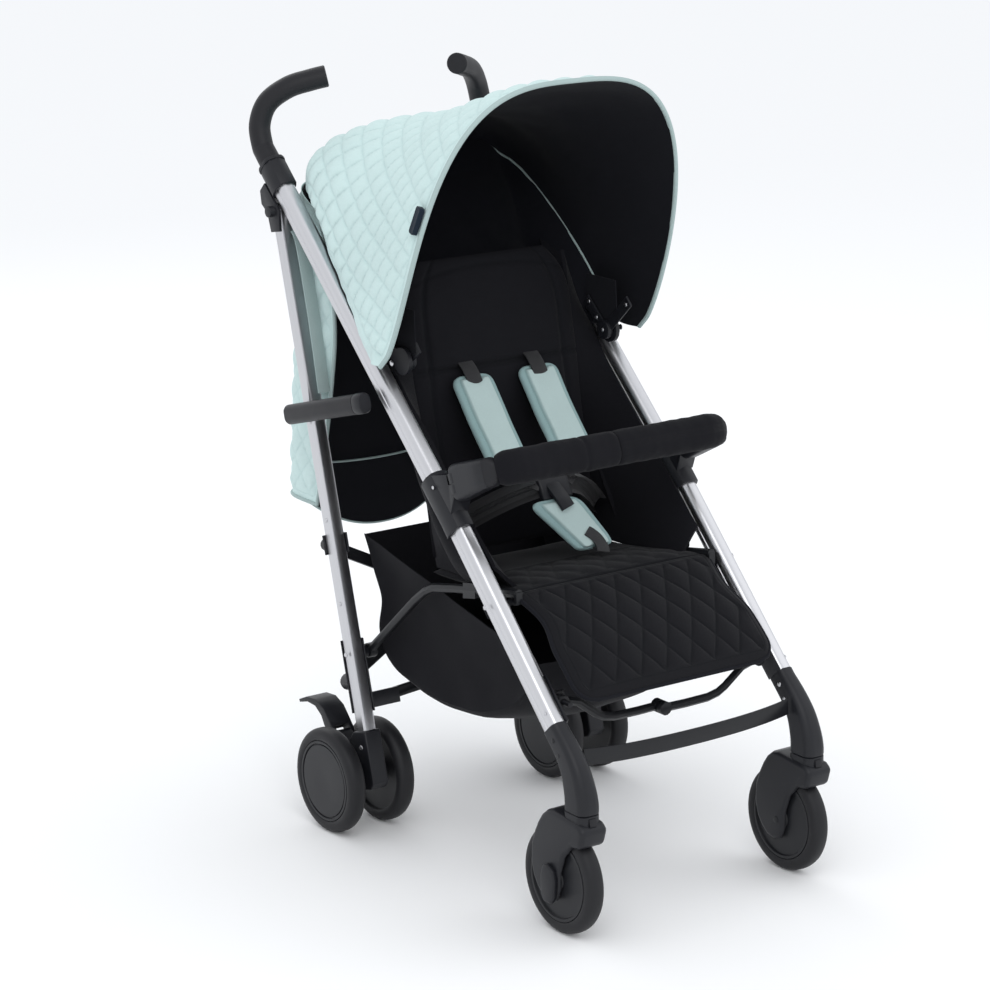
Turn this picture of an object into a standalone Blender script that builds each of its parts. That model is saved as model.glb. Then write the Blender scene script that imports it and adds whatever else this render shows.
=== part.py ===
"""Umbrella-fold pushchair with a quilted hood, built as its separate pieces.

Metres, +Z up. The child faces -Y, and +X is the child's left. The origin is on the
floor under the middle of the frame. Each side frame lies in a plane of constant X, so
its pieces are drawn in side view, as (y, z) outlines, and given their place across.
"""
import math

import bmesh
import bpy
from mathutils import Matrix, Vector

# Overall frame
FRAME_SHIFT = 0.0117        # brings the middle of the length over the origin
FRAME_HALF = 0.193          # side frame plane to the middle
CLEARANCE = 0.0003          # gap between pieces that seat on each other
RUNNING = 0.0005            # gap round pins and sliding collars
FOLD_TRAVEL = 0.075         # each side frame moves in this far
LEG_FOLD = math.radians(26)

# Side tubes: the upper and lower tube meet inside the bumper bracket
KNEE_Y, KNEE_Z = -0.0933, 0.5100
UPPER_LEAN = math.radians(43.4)
LOWER_LEAN = math.radians(45.8)
TUBE_WIDTH, TUBE_DEPTH, TUBE_CORNER = 0.024, 0.030, 0.0085
GROOVE_WIDTH, GROOVE_DEPTH = 0.003, 0.0012
UPPER_TUBE_LENGTH = 0.585
LOWER_TUBE_LENGTH = 0.278
SLEEVE_WALL = 0.0045

# Push handle
SLEEVE_START = UPPER_TUBE_LENGTH - 0.0265
SLEEVE_END = UPPER_TUBE_LENGTH + 0.022
GRIP_RADIUS = 0.0155
GRIP_CURVE = (              # inwards, back and up from the end of the grip's straight
    (0.001, 0.0089, 0.0307), (0.012, 0.0049, 0.0617), (0.035, -0.0131, 0.0837),
    (0.061, -0.0301, 0.0937), (0.080, -0.0421, 0.0992),
)

# Rear leg
PIVOT_ALONG = SLEEVE_START - 0.0135
PIVOT_BEHIND = 0.029
LEG_LEAN = math.radians(15.8)
LEG_WIDTH, LEG_DEPTH, LEG_CORNER = 0.020, 0.022, 0.003
LEG_TOP = 0.011
AXLE_BEHIND, AXLE_BELOW = 0.04892, 0.00499  # from the leg's middle line and its end
PIN_RADIUS = 0.004

# Wheels
REAR_WHEEL_RADIUS, FRONT_WHEEL_RADIUS, WHEEL_WIDTH = 0.0755, 0.0745, 0.028
TWIN_HALF_SPACING = 0.0415
AXLE_RADIUS = 0.005
SWIVEL_Y, SWIVEL_SEAM_Z = -0.378, 0.178
CASTER_TRAIL = 0.0365
SWIVEL_PIN_RADIUS, SWIVEL_PIN_LENGTH = 0.006, 0.030
FORK_GAP, FORK_ARM = 0.0025, 0.005

# Folding braces
CROSS_RISE = 0.197          # from a cross bar's lower end to its upper one, along the leg
LINK_X = FRAME_HALF - 0.028
LINK_RADIUS = 0.0065
HOOK_ALONG = 0.1395
COLLAR_WALL = 0.004
BAR_THICK = 0.006
LAYER_GAP = 0.001

# Bumper bar
BUMPER_PIVOT = (-0.112, 0.562)
BUMPER_RISE = math.radians(22.6)
BUMPER_REACH = 0.0845
BUMPER_TALL, BUMPER_DEEP = 0.044, 0.036
BUMPER_BEND, BUMPER_END_GAP, BUMPER_MITRE = 0.034, 0.0090, 0.30

# Seat fabric
SEAT_HALF = FRAME_HALF - 0.041
WING_THICK = 0.012
BACK_HALF = SEAT_HALF - WING_THICK + 0.0002
CANOPY_HALF = FRAME_HALF - 0.0213
BOW_HALF = FRAME_HALF + 0.029
FLAP_HALF = CANOPY_HALF - 0.0134
BASKET_HALF = FRAME_HALF - 0.045
CANOPY_PIVOT = (0.045, 0.695)
FABRIC = 0.0025

SIDES = {"left": 1, "right": -1}


# Scene and materials

def clear_scene():
    for obj in list(bpy.data.objects):
        bpy.data.objects.remove(obj, do_unlink=True)


def make_material(name, colour, roughness, metallic=0.0):
    material = bpy.data.materials.new(name)
    material.use_nodes = True
    shader = material.node_tree.nodes["Principled BSDF"]
    shader.inputs["Base Color"].default_value = (*colour, 1)
    shader.inputs["Roughness"].default_value = roughness
    shader.inputs["Metallic"].default_value = metallic
    return material


def make_palette():
    return {
        "aluminium": make_material("aluminium", (0.72, 0.72, 0.74), 0.30, 1.0),
        "plastic": make_material("plastic", (0.035, 0.036, 0.042), 0.45),
        "grip": make_material("grip", (0.030, 0.030, 0.034), 0.70),
        "rubber": make_material("rubber", (0.030, 0.030, 0.034), 0.60),
        "steel": make_material("steel", (0.06, 0.06, 0.07), 0.40, 0.6),
        "black_cloth": make_material("black_cloth", (0.012, 0.012, 0.016), 0.90),
        "mint_cloth": make_material("mint_cloth", (0.55, 0.74, 0.72), 0.85),
    }


# Bodies: one empty stands on each joint's axis

def make_body(name, place, parent=None):
    empty = bpy.data.objects.new(name + "_axis", None)
    bpy.context.collection.objects.link(empty)
    offset = Vector(place)
    if parent:
        empty.parent = parent["empty"]
        offset = offset - parent["place"]
    empty.location = offset
    return {"empty": empty, "place": Vector(place)}


def finish(name, mesh_data, body, material, smooth=True, helper=False):
    """Turns world-space bmesh data into an object standing on its body's axis."""
    bmesh.ops.remove_doubles(mesh_data, verts=mesh_data.verts, dist=1e-6)
    bmesh.ops.recalc_face_normals(mesh_data, faces=mesh_data.faces)
    bmesh.ops.translate(mesh_data, verts=mesh_data.verts, vec=-body["place"])
    mesh = bpy.data.meshes.new(name)
    mesh_data.to_mesh(mesh)
    mesh_data.free()
    mesh.materials.append(material)
    if smooth:
        mesh.shade_smooth()
        mesh.set_sharp_from_angle(angle=math.radians(35))
    obj = bpy.data.objects.new(name, mesh)
    bpy.context.collection.objects.link(obj)
    obj.parent = body["empty"]
    if helper:
        obj.hide_render = True
        obj.display_type = "WIRE"
    return obj


def bevelled(obj, width, segments=1, angle=40):
    modifier = obj.modifiers.new("edge", "BEVEL")
    modifier.width = width
    modifier.segments = segments
    modifier.limit_method = "ANGLE"
    modifier.angle_limit = math.radians(angle)
    return obj


def boolean(obj, operation, other_mesh, body, material):
    helper = finish(obj.name + "_" + operation.lower(), other_mesh, body, material, False, True)
    modifier = obj.modifiers.new(operation.lower(), "BOOLEAN")
    modifier.operation = operation
    modifier.object = helper


def join(obj, body, *meshes):
    for mesh_data in meshes:
        boolean(obj, "UNION", mesh_data, body, obj.data.materials[0])


def cut(obj, body, *meshes):
    for mesh_data in meshes:
        boolean(obj, "DIFFERENCE", mesh_data, body, obj.data.materials[0])


# Shapes, all in world space

def rounded_section(width, depth, corner, steps=2):
    """A rectangle with round corners, as (across, deep) points."""
    points = []
    for quarter in range(4):
        turn = math.pi / 2 * quarter
        centre_x = (width / 2 - corner) * (1 if quarter in (0, 3) else -1)
        centre_y = (depth / 2 - corner) * (1 if quarter in (0, 1) else -1)
        for step in range(steps + 1):
            angle = turn + math.pi / 2 * step / steps
            points.append((centre_x + corner * math.cos(angle), centre_y + corner * math.sin(angle)))
    return points


def grooved_section(width, depth, corner, steps=2):
    """The tube extrusion: round corners and a fine groove down each flat side."""
    points = rounded_section(width, depth, corner, steps)
    groove = [(0, GROOVE_WIDTH / 2), (GROOVE_DEPTH, 0), (0, -GROOVE_WIDTH / 2)]
    left = [(-width / 2 + deep, along) for deep, along in groove]
    right = [(width / 2 - deep, along) for deep, along in reversed(groove)]
    half = 2 * (steps + 1)
    return points[:half] + left + points[half:] + right


def round_section(radius, steps=10):
    return [
        (radius * math.cos(2 * math.pi * i / steps), radius * math.sin(2 * math.pi * i / steps))
        for i in range(steps)
    ]


def ring(section, centre, across, deep, scale=1.0):
    across, deep = Vector(across), Vector(deep)
    return [Vector(centre) + across * a * scale + deep * b * scale for a, b in section]


def loft(rings, cyclic=False):
    """Faces between neighbouring rings; the ends are capped unless the loft closes on itself."""
    data = bmesh.new()
    rows = [[data.verts.new(point) for point in one] for one in rings]
    count = len(rows[0])
    pairs = list(zip(rows, rows[1:]))
    if cyclic:
        pairs.append((rows[-1], rows[0]))
    for first, second in pairs:
        for i in range(count):
            j = (i + 1) % count
            data.faces.new((first[i], first[j], second[j], second[i]))
    if not cyclic:
        data.faces.new(list(reversed(rows[0])))
        data.faces.new(rows[-1])
    return data


def prism(outline, low_x, high_x):
    """A side-view outline of (y, z) points, extruded across."""
    return loft([
        [Vector((low_x, y, z)) for y, z in outline],
        [Vector((high_x, y, z)) for y, z in outline],
    ])


def swept(path, section, across=(1, 0, 0), scales=None):
    """Carries a section along a path, turning it no more than the path does."""
    path = [Vector(point) for point in path]
    scales = scales or [1.0] * len(path)
    tangents = []
    for i in range(len(path)):
        ahead = path[min(i + 1, len(path) - 1)] - path[max(i - 1, 0)]
        tangents.append(ahead.normalized())
    side = Vector(across)
    rings = []
    for i, point in enumerate(path):
        side = (side - tangents[i] * side.dot(tangents[i])).normalized()
        deep = tangents[i].cross(side)
        rings.append(ring(section, point, side, deep, scales[i]))
    return loft(rings)


def cylinder(start, end, radius, steps=12):
    start, end = Vector(start), Vector(end)
    direction = (end - start).normalized()
    side = direction.orthogonal().normalized()
    deep = direction.cross(side)
    section = round_section(radius, steps)
    return loft([ring(section, start, side, deep), ring(section, end, side, deep)])


def turned(profile, centre, direction, steps=18):
    """Spins a profile of (radius, along) points about a line through centre."""
    axis = Vector((direction, 0, 0))
    centre = Vector(centre)
    data = bmesh.new()
    verts = [data.verts.new(centre + axis * along + Vector((0, 0, radius))) for radius, along in profile]
    edges = [data.edges.new(pair) for pair in zip(verts, verts[1:])]
    bmesh.ops.spin(
        data, geom=verts + edges, cent=centre, axis=axis, angle=2 * math.pi, steps=steps, use_merge=True
    )
    bmesh.ops.remove_doubles(data, verts=data.verts, dist=1e-5)
    return data


def box(low, high):
    outline = [(low[1], low[2]), (high[1], low[2]), (high[1], high[2]), (low[1], high[2])]
    return prism(outline, low[0], high[0])


def smooth_path(points, steps=3):
    """A curve through the points that leaves each one along its neighbours' line."""
    points = [Vector(point) for point in points]
    path = []
    for i in range(len(points) - 1):
        before = points[max(i - 1, 0)]
        after = points[min(i + 2, len(points) - 1)]
        start, end = points[i], points[i + 1]
        for step in range(steps):
            t = step / steps
            path.append(0.5 * (
                2 * start + (end - before) * t
                + (2 * before - 5 * start + 4 * end - after) * t * t
                + (3 * start - before - 3 * end + after) * t * t * t
            ))
    path.append(points[-1])
    return path


# Frame lines in side view

def upper_point(along, ahead=0.0):
    """A point on or ahead of the upper tube's middle line, measured up from the knee."""
    return (
        KNEE_Y + along * math.cos(UPPER_LEAN) - ahead * math.sin(UPPER_LEAN),
        KNEE_Z + along * math.sin(UPPER_LEAN) + ahead * math.cos(UPPER_LEAN),
    )


def lower_point(along, ahead=0.0):
    """The same for the lower tube, measured down from the knee."""
    return (
        KNEE_Y - along * math.cos(LOWER_LEAN) - ahead * math.sin(LOWER_LEAN),
        KNEE_Z - along * math.sin(LOWER_LEAN) + ahead * math.cos(LOWER_LEAN),
    )


LEG_PIVOT = upper_point(PIVOT_ALONG, -PIVOT_BEHIND)
LEG_DOWN = Vector((0, -math.sin(LEG_LEAN), -math.cos(LEG_LEAN)))
LEG_BACK = Vector((0, math.cos(LEG_LEAN), -math.sin(LEG_LEAN)))


def leg_point(down, back=0.0):
    """A point on or behind the rear leg's middle line, measured down from its pivot."""
    return (
        LEG_PIVOT[0] + LEG_DOWN.y * down + LEG_BACK.y * back,
        LEG_PIVOT[1] + LEG_DOWN.z * down + LEG_BACK.z * back,
    )


# The rear leg reaches down to an axle at the wheel's own height
AXLE_DOWN = (LEG_PIVOT[1] - REAR_WHEEL_RADIUS - AXLE_BEHIND * math.sin(LEG_LEAN)) / math.cos(LEG_LEAN)
LEG_LENGTH = AXLE_DOWN - AXLE_BELOW
REAR_AXLE_Y = leg_point(AXLE_DOWN, AXLE_BEHIND)[0]

# Places along the rear leg, measured down from its pivot
LINK_PIVOT = LEG_LENGTH - 0.168
CROSS_LOW = LEG_LENGTH - 0.128
CROSS_HIGH = CROSS_LOW - CROSS_RISE
REAR_BRACE_AT = LEG_LENGTH - 0.100


def at(x, point):
    return Vector((x, point[0], point[1]))


# The side frame

def upper_axes():
    return Vector((1, 0, 0)), Vector((0, -math.sin(UPPER_LEAN), math.cos(UPPER_LEAN)))


def lower_axes():
    return Vector((1, 0, 0)), Vector((0, -math.sin(LOWER_LEAN), math.cos(LOWER_LEAN)))


def build_tubes(side, sign, body, palette):
    x = sign * FRAME_HALF
    section = grooved_section(TUBE_WIDTH, TUBE_DEPTH, TUBE_CORNER)
    across, deep = upper_axes()
    upper = loft([ring(section, at(x, upper_point(s)), across, deep) for s in (0.004, UPPER_TUBE_LENGTH)])
    finish(side + "_upper_tube", upper, body, palette["aluminium"])
    across, deep = lower_axes()
    lower = loft([ring(section, at(x, lower_point(s)), across, deep) for s in (0.004, LOWER_TUBE_LENGTH)])
    finish(side + "_lower_tube", lower, body, palette["aluminium"])


def pocket_section():
    return rounded_section(
        TUBE_WIDTH + 2 * CLEARANCE, TUBE_DEPTH + 2 * CLEARANCE, TUBE_CORNER + CLEARANCE
    )


def sleeve_section(wall=SLEEVE_WALL):
    return rounded_section(TUBE_WIDTH + 2 * wall, TUBE_DEPTH + 2 * wall, TUBE_CORNER + wall)


def build_handle(side, sign, body, palette):
    """The sleeve on the tube's end, with the cheeks that hold the rear leg, and the curved grip."""
    x = sign * FRAME_HALF
    across, deep = upper_axes()
    outer, inner = sleeve_section(), pocket_section()
    centre = lambda s: at(x, upper_point(s))
    sleeve = loft([
        ring(outer, centre(SLEEVE_END), across, deep, 0.92),
        ring(outer, centre(SLEEVE_END - 0.006), across, deep),
        ring(outer, centre(SLEEVE_START), across, deep),
        ring(inner, centre(SLEEVE_START), across, deep),
        ring(inner, centre(UPPER_TUBE_LENGTH + CLEARANCE), across, deep),
    ])
    bracket = finish(side + "_handle_bracket", sleeve, body, palette["plastic"])
    cheek = [
        upper_point(SLEEVE_START + 0.003, -0.0160), upper_point(SLEEVE_START + 0.027, -0.0165),
        upper_point(SLEEVE_START + 0.027, -0.033), upper_point(SLEEVE_START + 0.012, -0.044),
        leg_point(0, 0.0145), leg_point(0.028, 0.0125), leg_point(0.030, -0.010),
        upper_point(PIVOT_ALONG - 0.009, -0.0165),
    ]
    web = [
        upper_point(SLEEVE_START + 0.001, -0.0160), upper_point(SLEEVE_START + 0.026, -0.0165),
        upper_point(SLEEVE_START + 0.026, -0.032), upper_point(SLEEVE_START + 0.012, -0.0425),
        upper_point(SLEEVE_START + 0.001, -0.042),
    ]
    inside = LEG_WIDTH / 2 + RUNNING
    join(bracket, body, *(
        prism(cheek, *sorted((x + way * inside, x + way * (inside + 0.004)))) for way in (1, -1)
    ))
    join(bracket, body, prism(web, x - inside - 0.001, x + inside + 0.001))
    bolt_out = sign * (inside + 0.012)
    pin_in, pin_out = x - sign * (inside + 0.006), x + bolt_out - sign * 0.004
    join(
        bracket, body,
        cylinder(at(pin_in, LEG_PIVOT), at(pin_out, LEG_PIVOT), PIN_RADIUS),
        cylinder(at(x + sign * (inside + 0.003), LEG_PIVOT), at(x + bolt_out, LEG_PIVOT), 0.008),
    )
    path = [at(x, upper_point(SLEEVE_END + CLEARANCE)), at(x, upper_point(SLEEVE_END + 0.006))]
    straight_end = at(x, upper_point(SLEEVE_END + 0.028))
    path += smooth_path([straight_end] + [
        straight_end + Vector((-sign * inwards, back, up)) for inwards, back, up in GRIP_CURVE
    ])
    scales = [1.0] * len(path)
    scales[0] = 1.04
    scales[-1] = 0.80
    path[-2] = path[-1] + (path[-2] - path[-1]).normalized() * 0.004
    grip = swept(path, round_section(GRIP_RADIUS), scales=scales)
    finish(side + "_handle_grip", grip, body, palette["grip"])


def bumper_axes():
    forward = Vector((0, -math.cos(BUMPER_RISE), math.sin(BUMPER_RISE)))
    up = Vector((0, math.sin(BUMPER_RISE), math.cos(BUMPER_RISE)))
    return forward, up


def build_bumper_bracket(side, sign, body, palette):
    """The joint that holds both tubes, with the boss that the bumper bar turns on."""
    x = sign * FRAME_HALF
    outer, inner = sleeve_section(0.005), pocket_section()
    axes, low_axes = upper_axes(), lower_axes()
    middle = (axes[0], (axes[1] + low_axes[1]).normalized())
    stations = [(upper_point(0.062), axes), ((KNEE_Y, KNEE_Z), middle), (lower_point(0.024), low_axes)]
    rings = [ring(outer, at(x, point), *both) for point, both in stations]
    rings += [ring(inner, at(x, point), *both) for point, both in reversed(stations)]
    bracket = finish(side + "_bumper_bracket", loft(rings, cyclic=True), body, palette["plastic"])
    forward, up = bumper_axes()
    pivot = at(x, BUMPER_PIVOT)
    front_top, front_low = pivot + up * 0.012, pivot - up * 0.014
    outline = [
        upper_point(0.058, 0.0165), (front_top.y, front_top.z), (front_low.y, front_low.z),
        upper_point(-0.004, 0.0165),
    ]
    join(
        bracket, body, prism(outline, x - 0.0145, x + 0.0145),
        cylinder(pivot - up * 0.014, pivot - up * 0.002, 0.0165, 16),
    )
    cut(bracket, body, cylinder(pivot - up * CLEARANCE, pivot + up * 0.030, 0.0185, 16))
    join(bracket, body, cylinder(pivot - up * 0.010, pivot + up * 0.0155, PIN_RADIUS))


def build_canopy_hinge(side, sign, body, palette):
    """The clamp on the upper tube that carries the hood's pivot."""
    x = sign * FRAME_HALF
    across, deep = upper_axes()
    outer, inner = sleeve_section(0.004), pocket_section()
    along = (CANOPY_PIVOT[1] - KNEE_Z) / math.sin(UPPER_LEAN) + 0.004
    low, high = at(x, upper_point(along - 0.016)), at(x, upper_point(along + 0.016))
    rings = [ring(outer, low, across, deep), ring(outer, high, across, deep)]
    rings += [ring(inner, high, across, deep), ring(inner, low, across, deep)]
    clamp = finish(side + "_canopy_hinge", loft(rings, cyclic=True), body, palette["plastic"])
    arm = [
        upper_point(along + 0.012, 0.0165), (CANOPY_PIVOT[0], CANOPY_PIVOT[1] + 0.014),
        (CANOPY_PIVOT[0], CANOPY_PIVOT[1] - 0.014), upper_point(along - 0.014, 0.0165),
    ]
    inner_face = sign * (CANOPY_HALF + 0.0028)
    arm_in, arm_out = inner_face + sign * 0.0015, x - sign * 0.001
    join(
        clamp, body, prism(arm, *sorted((arm_in, arm_out))),
        cylinder(at(inner_face, CANOPY_PIVOT), at(x + sign * 0.001, CANOPY_PIVOT), 0.019, 16),
        cylinder(at(x - sign * 0.003, CANOPY_PIVOT), at(x + sign * 0.004, CANOPY_PIVOT), 0.007),
    )


def build_link_clamp(side, sign, body, palette):
    """The clip on the lower tube whose pin catches the side link."""
    x = sign * FRAME_HALF
    across, deep = lower_axes()
    outer, inner = sleeve_section(0.0035), pocket_section()
    low, high = at(x, lower_point(HOOK_ALONG - 0.010)), at(x, lower_point(HOOK_ALONG + 0.010))
    rings = [ring(outer, low, across, deep), ring(outer, high, across, deep)]
    rings += [ring(inner, high, across, deep), ring(inner, low, across, deep)]
    clamp = finish(side + "_link_clamp", loft(rings, cyclic=True), body, palette["plastic"])
    hook = at(x, lower_point(HOOK_ALONG))
    inward = Vector((-sign, 0, 0))
    join(
        clamp, body,
        cylinder(hook + inward * (TUBE_WIDTH / 2 + 0.001), hook + inward * 0.036, 0.0045),
        cylinder(hook - inward * (TUBE_WIDTH / 2 + 0.001), hook - inward * 0.019, 0.006),
    )


def build_lower_leg(side, sign, body, palette):
    """The moulded foot of the side frame: a socket for the tube, curving down to the swivel."""
    x = sign * FRAME_HALF
    top = lower_point(LOWER_TUBE_LENGTH - 0.022)
    path = [
        (SWIVEL_Y, SWIVEL_SEAM_Z + RUNNING), (-0.3775, 0.190), (-0.373, 0.206), (-0.361, 0.230),
        (-0.343, 0.254), (-0.322, 0.2765),
    ]
    widths = [(0.034, 0.044), (0.034, 0.045), (0.034, 0.044), (0.033, 0.042), (0.032, 0.040), (0.032, 0.039)]
    leans = [90, 88, 76, 60, 51, 47]
    rings = []
    for (y, z), (wide, deep_size), lean in zip(path, widths, leans):
        turn = math.radians(lean)
        deep = Vector((0, -math.sin(turn), math.cos(turn)))
        rings.append(ring(rounded_section(wide, deep_size, 0.013), at(x, (y, z)), (1, 0, 0), deep))
    across, deep = lower_axes()
    outer = rounded_section(0.031, 0.037, 0.0115)
    rings.append(ring(outer, at(x, top), across, deep))
    rings.append(ring(pocket_section(), at(x, top), across, deep))
    rings.append(ring(pocket_section(), at(x, lower_point(LOWER_TUBE_LENGTH + CLEARANCE)), across, deep))
    leg = finish(side + "_lower_leg", loft(rings), body, palette["plastic"])
    swivel = Vector((x, SWIVEL_Y, 0))
    bore_top = SWIVEL_SEAM_Z + SWIVEL_PIN_LENGTH + 0.001
    cut(leg, body, cylinder(
        swivel + Vector((0, 0, SWIVEL_SEAM_Z - 0.005)), swivel + Vector((0, 0, bore_top)),
        SWIVEL_PIN_RADIUS + RUNNING,
    ))
    ear_in, ear_out = sign * (FRONT_BRACE_X - 0.011), sign * (FRAME_HALF - 0.013)
    ear = box(
        sorted_low(ear_in, ear_out, -0.2865, -0.2805, 0.288, 0.310),
        sorted_high(ear_in, ear_out, -0.2865, -0.2805, 0.288, 0.310),
    )
    pin = Vector((sign * FRONT_BRACE_X, 0, FRONT_BRACE_Z))
    join(
        leg, body, ear,
        cylinder(pin + Vector((0, -0.284, 0)), pin + Vector((0, -0.3135, 0)), PIN_RADIUS),
    )


def sorted_low(x0, x1, y0, y1, z0, z1):
    return min(x0, x1), min(y0, y1), min(z0, z1)


def sorted_high(x0, x1, y0, y1, z0, z1):
    return max(x0, x1), max(y0, y1), max(z0, z1)


# Front cross brace: two bent bars, each turning on its own lower leg
FRONT_BRACE_X = FRAME_HALF - 0.030
FRONT_BRACE_Z = 0.299
FRONT_BRACE_DROP = 0.038
FRONT_BRACE_LAYERS = {"left": -0.3065, "right": -0.2940}


def build_front_brace(side, sign, body, palette):
    y = FRONT_BRACE_LAYERS[side]
    low = FRONT_BRACE_Z - FRONT_BRACE_DROP
    path = smooth_path([
        (sign * FRONT_BRACE_X, y, FRONT_BRACE_Z),
        (sign * (FRONT_BRACE_X - 0.028), y, FRONT_BRACE_Z - 0.006),
        (sign * (FRONT_BRACE_X - 0.058), y, low + 0.010),
        (sign * (FRONT_BRACE_X - 0.088), y, low),
        (0, y, low),
    ], 2)
    bar = swept(path, rounded_section(0.010, 0.012, 0.004, 1), across=(0, 1, 0))
    brace = finish(side + "_front_brace", bar, body, palette["steel"])
    eye = Vector((sign * FRONT_BRACE_X, y, FRONT_BRACE_Z))
    deep = Vector((0, 0.005, 0))
    join(brace, body, cylinder(eye - deep, eye + deep, 0.0095))
    join(brace, body, cylinder(Vector((0, y, low)) - deep, Vector((0, y, low)) + deep, 0.0095))
    cut(brace, body, cylinder(eye - deep * 3, eye + deep * 3, PIN_RADIUS + RUNNING))


# Caster
LOCK_DOWN = Vector((-0.004, -0.023)).normalized()

def build_fork(side, sign, body, palette):
    """The swivelling fork: a domed cap over the wheel, an arm on each side, the pin and the axle."""
    x = sign * FRAME_HALF
    axle = Vector((x, SWIVEL_Y + CASTER_TRAIL, FRONT_WHEEL_RADIUS))
    inner = WHEEL_WIDTH / 2 + FORK_GAP
    half = inner + FORK_ARM
    y, z = axle.y, axle.z
    outline = [
        (y - 0.057, z + 0.101), (y - 0.061, z + 0.078), (y - 0.070, z + 0.074), (y - 0.055, z + 0.064),
        (y - 0.034, z + 0.050), (y - 0.020, z + 0.025), (y - 0.012, z - 0.004), (y - 0.006, z - 0.016),
        (y + 0.008, z - 0.021), (y + 0.024, z - 0.014), (y + 0.040, z + 0.006), (y + 0.052, z + 0.034),
        (y + 0.057, z + 0.060), (y + 0.055, z + 0.080), (y + 0.046, z + 0.092), (y + 0.026, z + 0.097),
        (y - 0.012, z + 0.101),
    ]
    fork = finish(side + "_fork", prism(outline, x - half, x + half), body, palette["plastic"])
    bevelled(fork, 0.004)
    swivel = Vector((x, SWIVEL_Y, 0))
    top = SWIVEL_SEAM_Z - RUNNING
    cut(fork, body, cylinder(
        axle - Vector((inner, 0, 0)), axle + Vector((inner, 0, 0)), FRONT_WHEEL_RADIUS + 0.004, 24
    ))
    collar = cylinder(swivel + Vector((0, 0, 0.1545)), swivel + Vector((0, 0, top)), 0.0185, 16)
    pin = cylinder(
        swivel + Vector((0, 0, 0.160)), swivel + Vector((0, 0, top + SWIVEL_PIN_LENGTH)), SWIVEL_PIN_RADIUS
    )
    rod = cylinder(
        axle - Vector((half + 0.0015, 0, 0)), axle + Vector((half + 0.0015, 0, 0)), AXLE_RADIUS
    )
    join(fork, body, collar, pin, rod)


def wheel_profile(radius, closed):
    """Half the wheel's section: cap, rim groove, tyre and hub, from the outer face inwards."""
    half = WHEEL_WIDTH / 2
    bore = AXLE_RADIUS + RUNNING
    tyre = [
        (radius - 0.0200, -half + 0.0015), (radius - 0.0180, -half + 0.0035),
        (radius - 0.0150, -half + 0.0005),
        (radius - 0.0060, -half + 0.0030), (radius, -half + 0.0105), (radius, half - 0.0105),
        (radius - 0.0060, half - 0.0030), (radius - 0.0150, half - 0.0005), (radius - 0.0165, half - 0.0060),
    ]
    if closed:
        hub = [(0.017, half - 0.001), (bore, half - 0.001), (bore, -half + 0.009), (0, -half + 0.009)]
        return [(0, -half + 0.0005)] + tyre + [(0.020, half - 0.006)] + hub
    hub = [(0.020, half - 0.0015), (bore, half - 0.0005), (bore, -half + 0.0005)]
    return [(bore, -half + 0.0005)] + tyre + hub


def build_front_wheel(side, sign, body, palette):
    centre = (sign * FRAME_HALF, SWIVEL_Y + CASTER_TRAIL, FRONT_WHEEL_RADIUS)
    wheel = turned(wheel_profile(FRONT_WHEEL_RADIUS, False), centre, -sign)
    finish(side + "_front_wheel", wheel, body, palette["rubber"])


def build_swivel_lock(side, sign, body, palette):
    """The slider on the front of the fork's neck that stops the caster turning."""
    x = sign * FRAME_HALF
    top = Vector((SWIVEL_Y - 0.0205 - CLEARANCE, 0.1755))
    down = LOCK_DOWN
    out = Vector((down.y, -down.x))
    outline = [
        top + down * 0.001, top + down * 0.013,
        top + down * 0.012 + out * 0.003, top + down * 0.002 + out * 0.003,
    ]
    finish(side + "_swivel_lock", prism(outline, x - 0.0055, x + 0.0055), body, palette["grip"])


# Rear leg

def build_rear_leg(side, sign, body, palette):
    x = sign * FRAME_HALF
    section = rounded_section(LEG_WIDTH, LEG_DEPTH, LEG_CORNER, 2)
    across = Vector((1, 0, 0))
    leg = loft([ring(section, at(x, leg_point(s)), across, LEG_BACK) for s in (0, LEG_LENGTH)])
    tube = finish(side + "_rear_leg", leg, body, palette["aluminium"])
    join(tube, body, cylinder(
        at(x - LEG_WIDTH / 2, LEG_PIVOT), at(x + LEG_WIDTH / 2, LEG_PIVOT), LEG_TOP, 16
    ))
    cut(tube, body, cylinder(at(x - 0.03, LEG_PIVOT), at(x + 0.03, LEG_PIVOT), PIN_RADIUS + RUNNING))


def leg_ring(section, x, down):
    return ring(section, at(x, leg_point(down)), (1, 0, 0), LEG_BACK)


def leg_collar(x, low, high, wall, gap):
    """A closed band round the rear leg, as rings for a loft that meets itself."""
    outer = rounded_section(
        LEG_WIDTH + 2 * (gap + wall), LEG_DEPTH + 2 * (gap + wall), LEG_CORNER + wall, 2
    )
    inner = rounded_section(LEG_WIDTH + 2 * gap, LEG_DEPTH + 2 * gap, LEG_CORNER, 2)
    outside = [leg_ring(outer, x, low), leg_ring(outer, x, high)]
    return outside + [leg_ring(inner, x, high), leg_ring(inner, x, low)]


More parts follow.
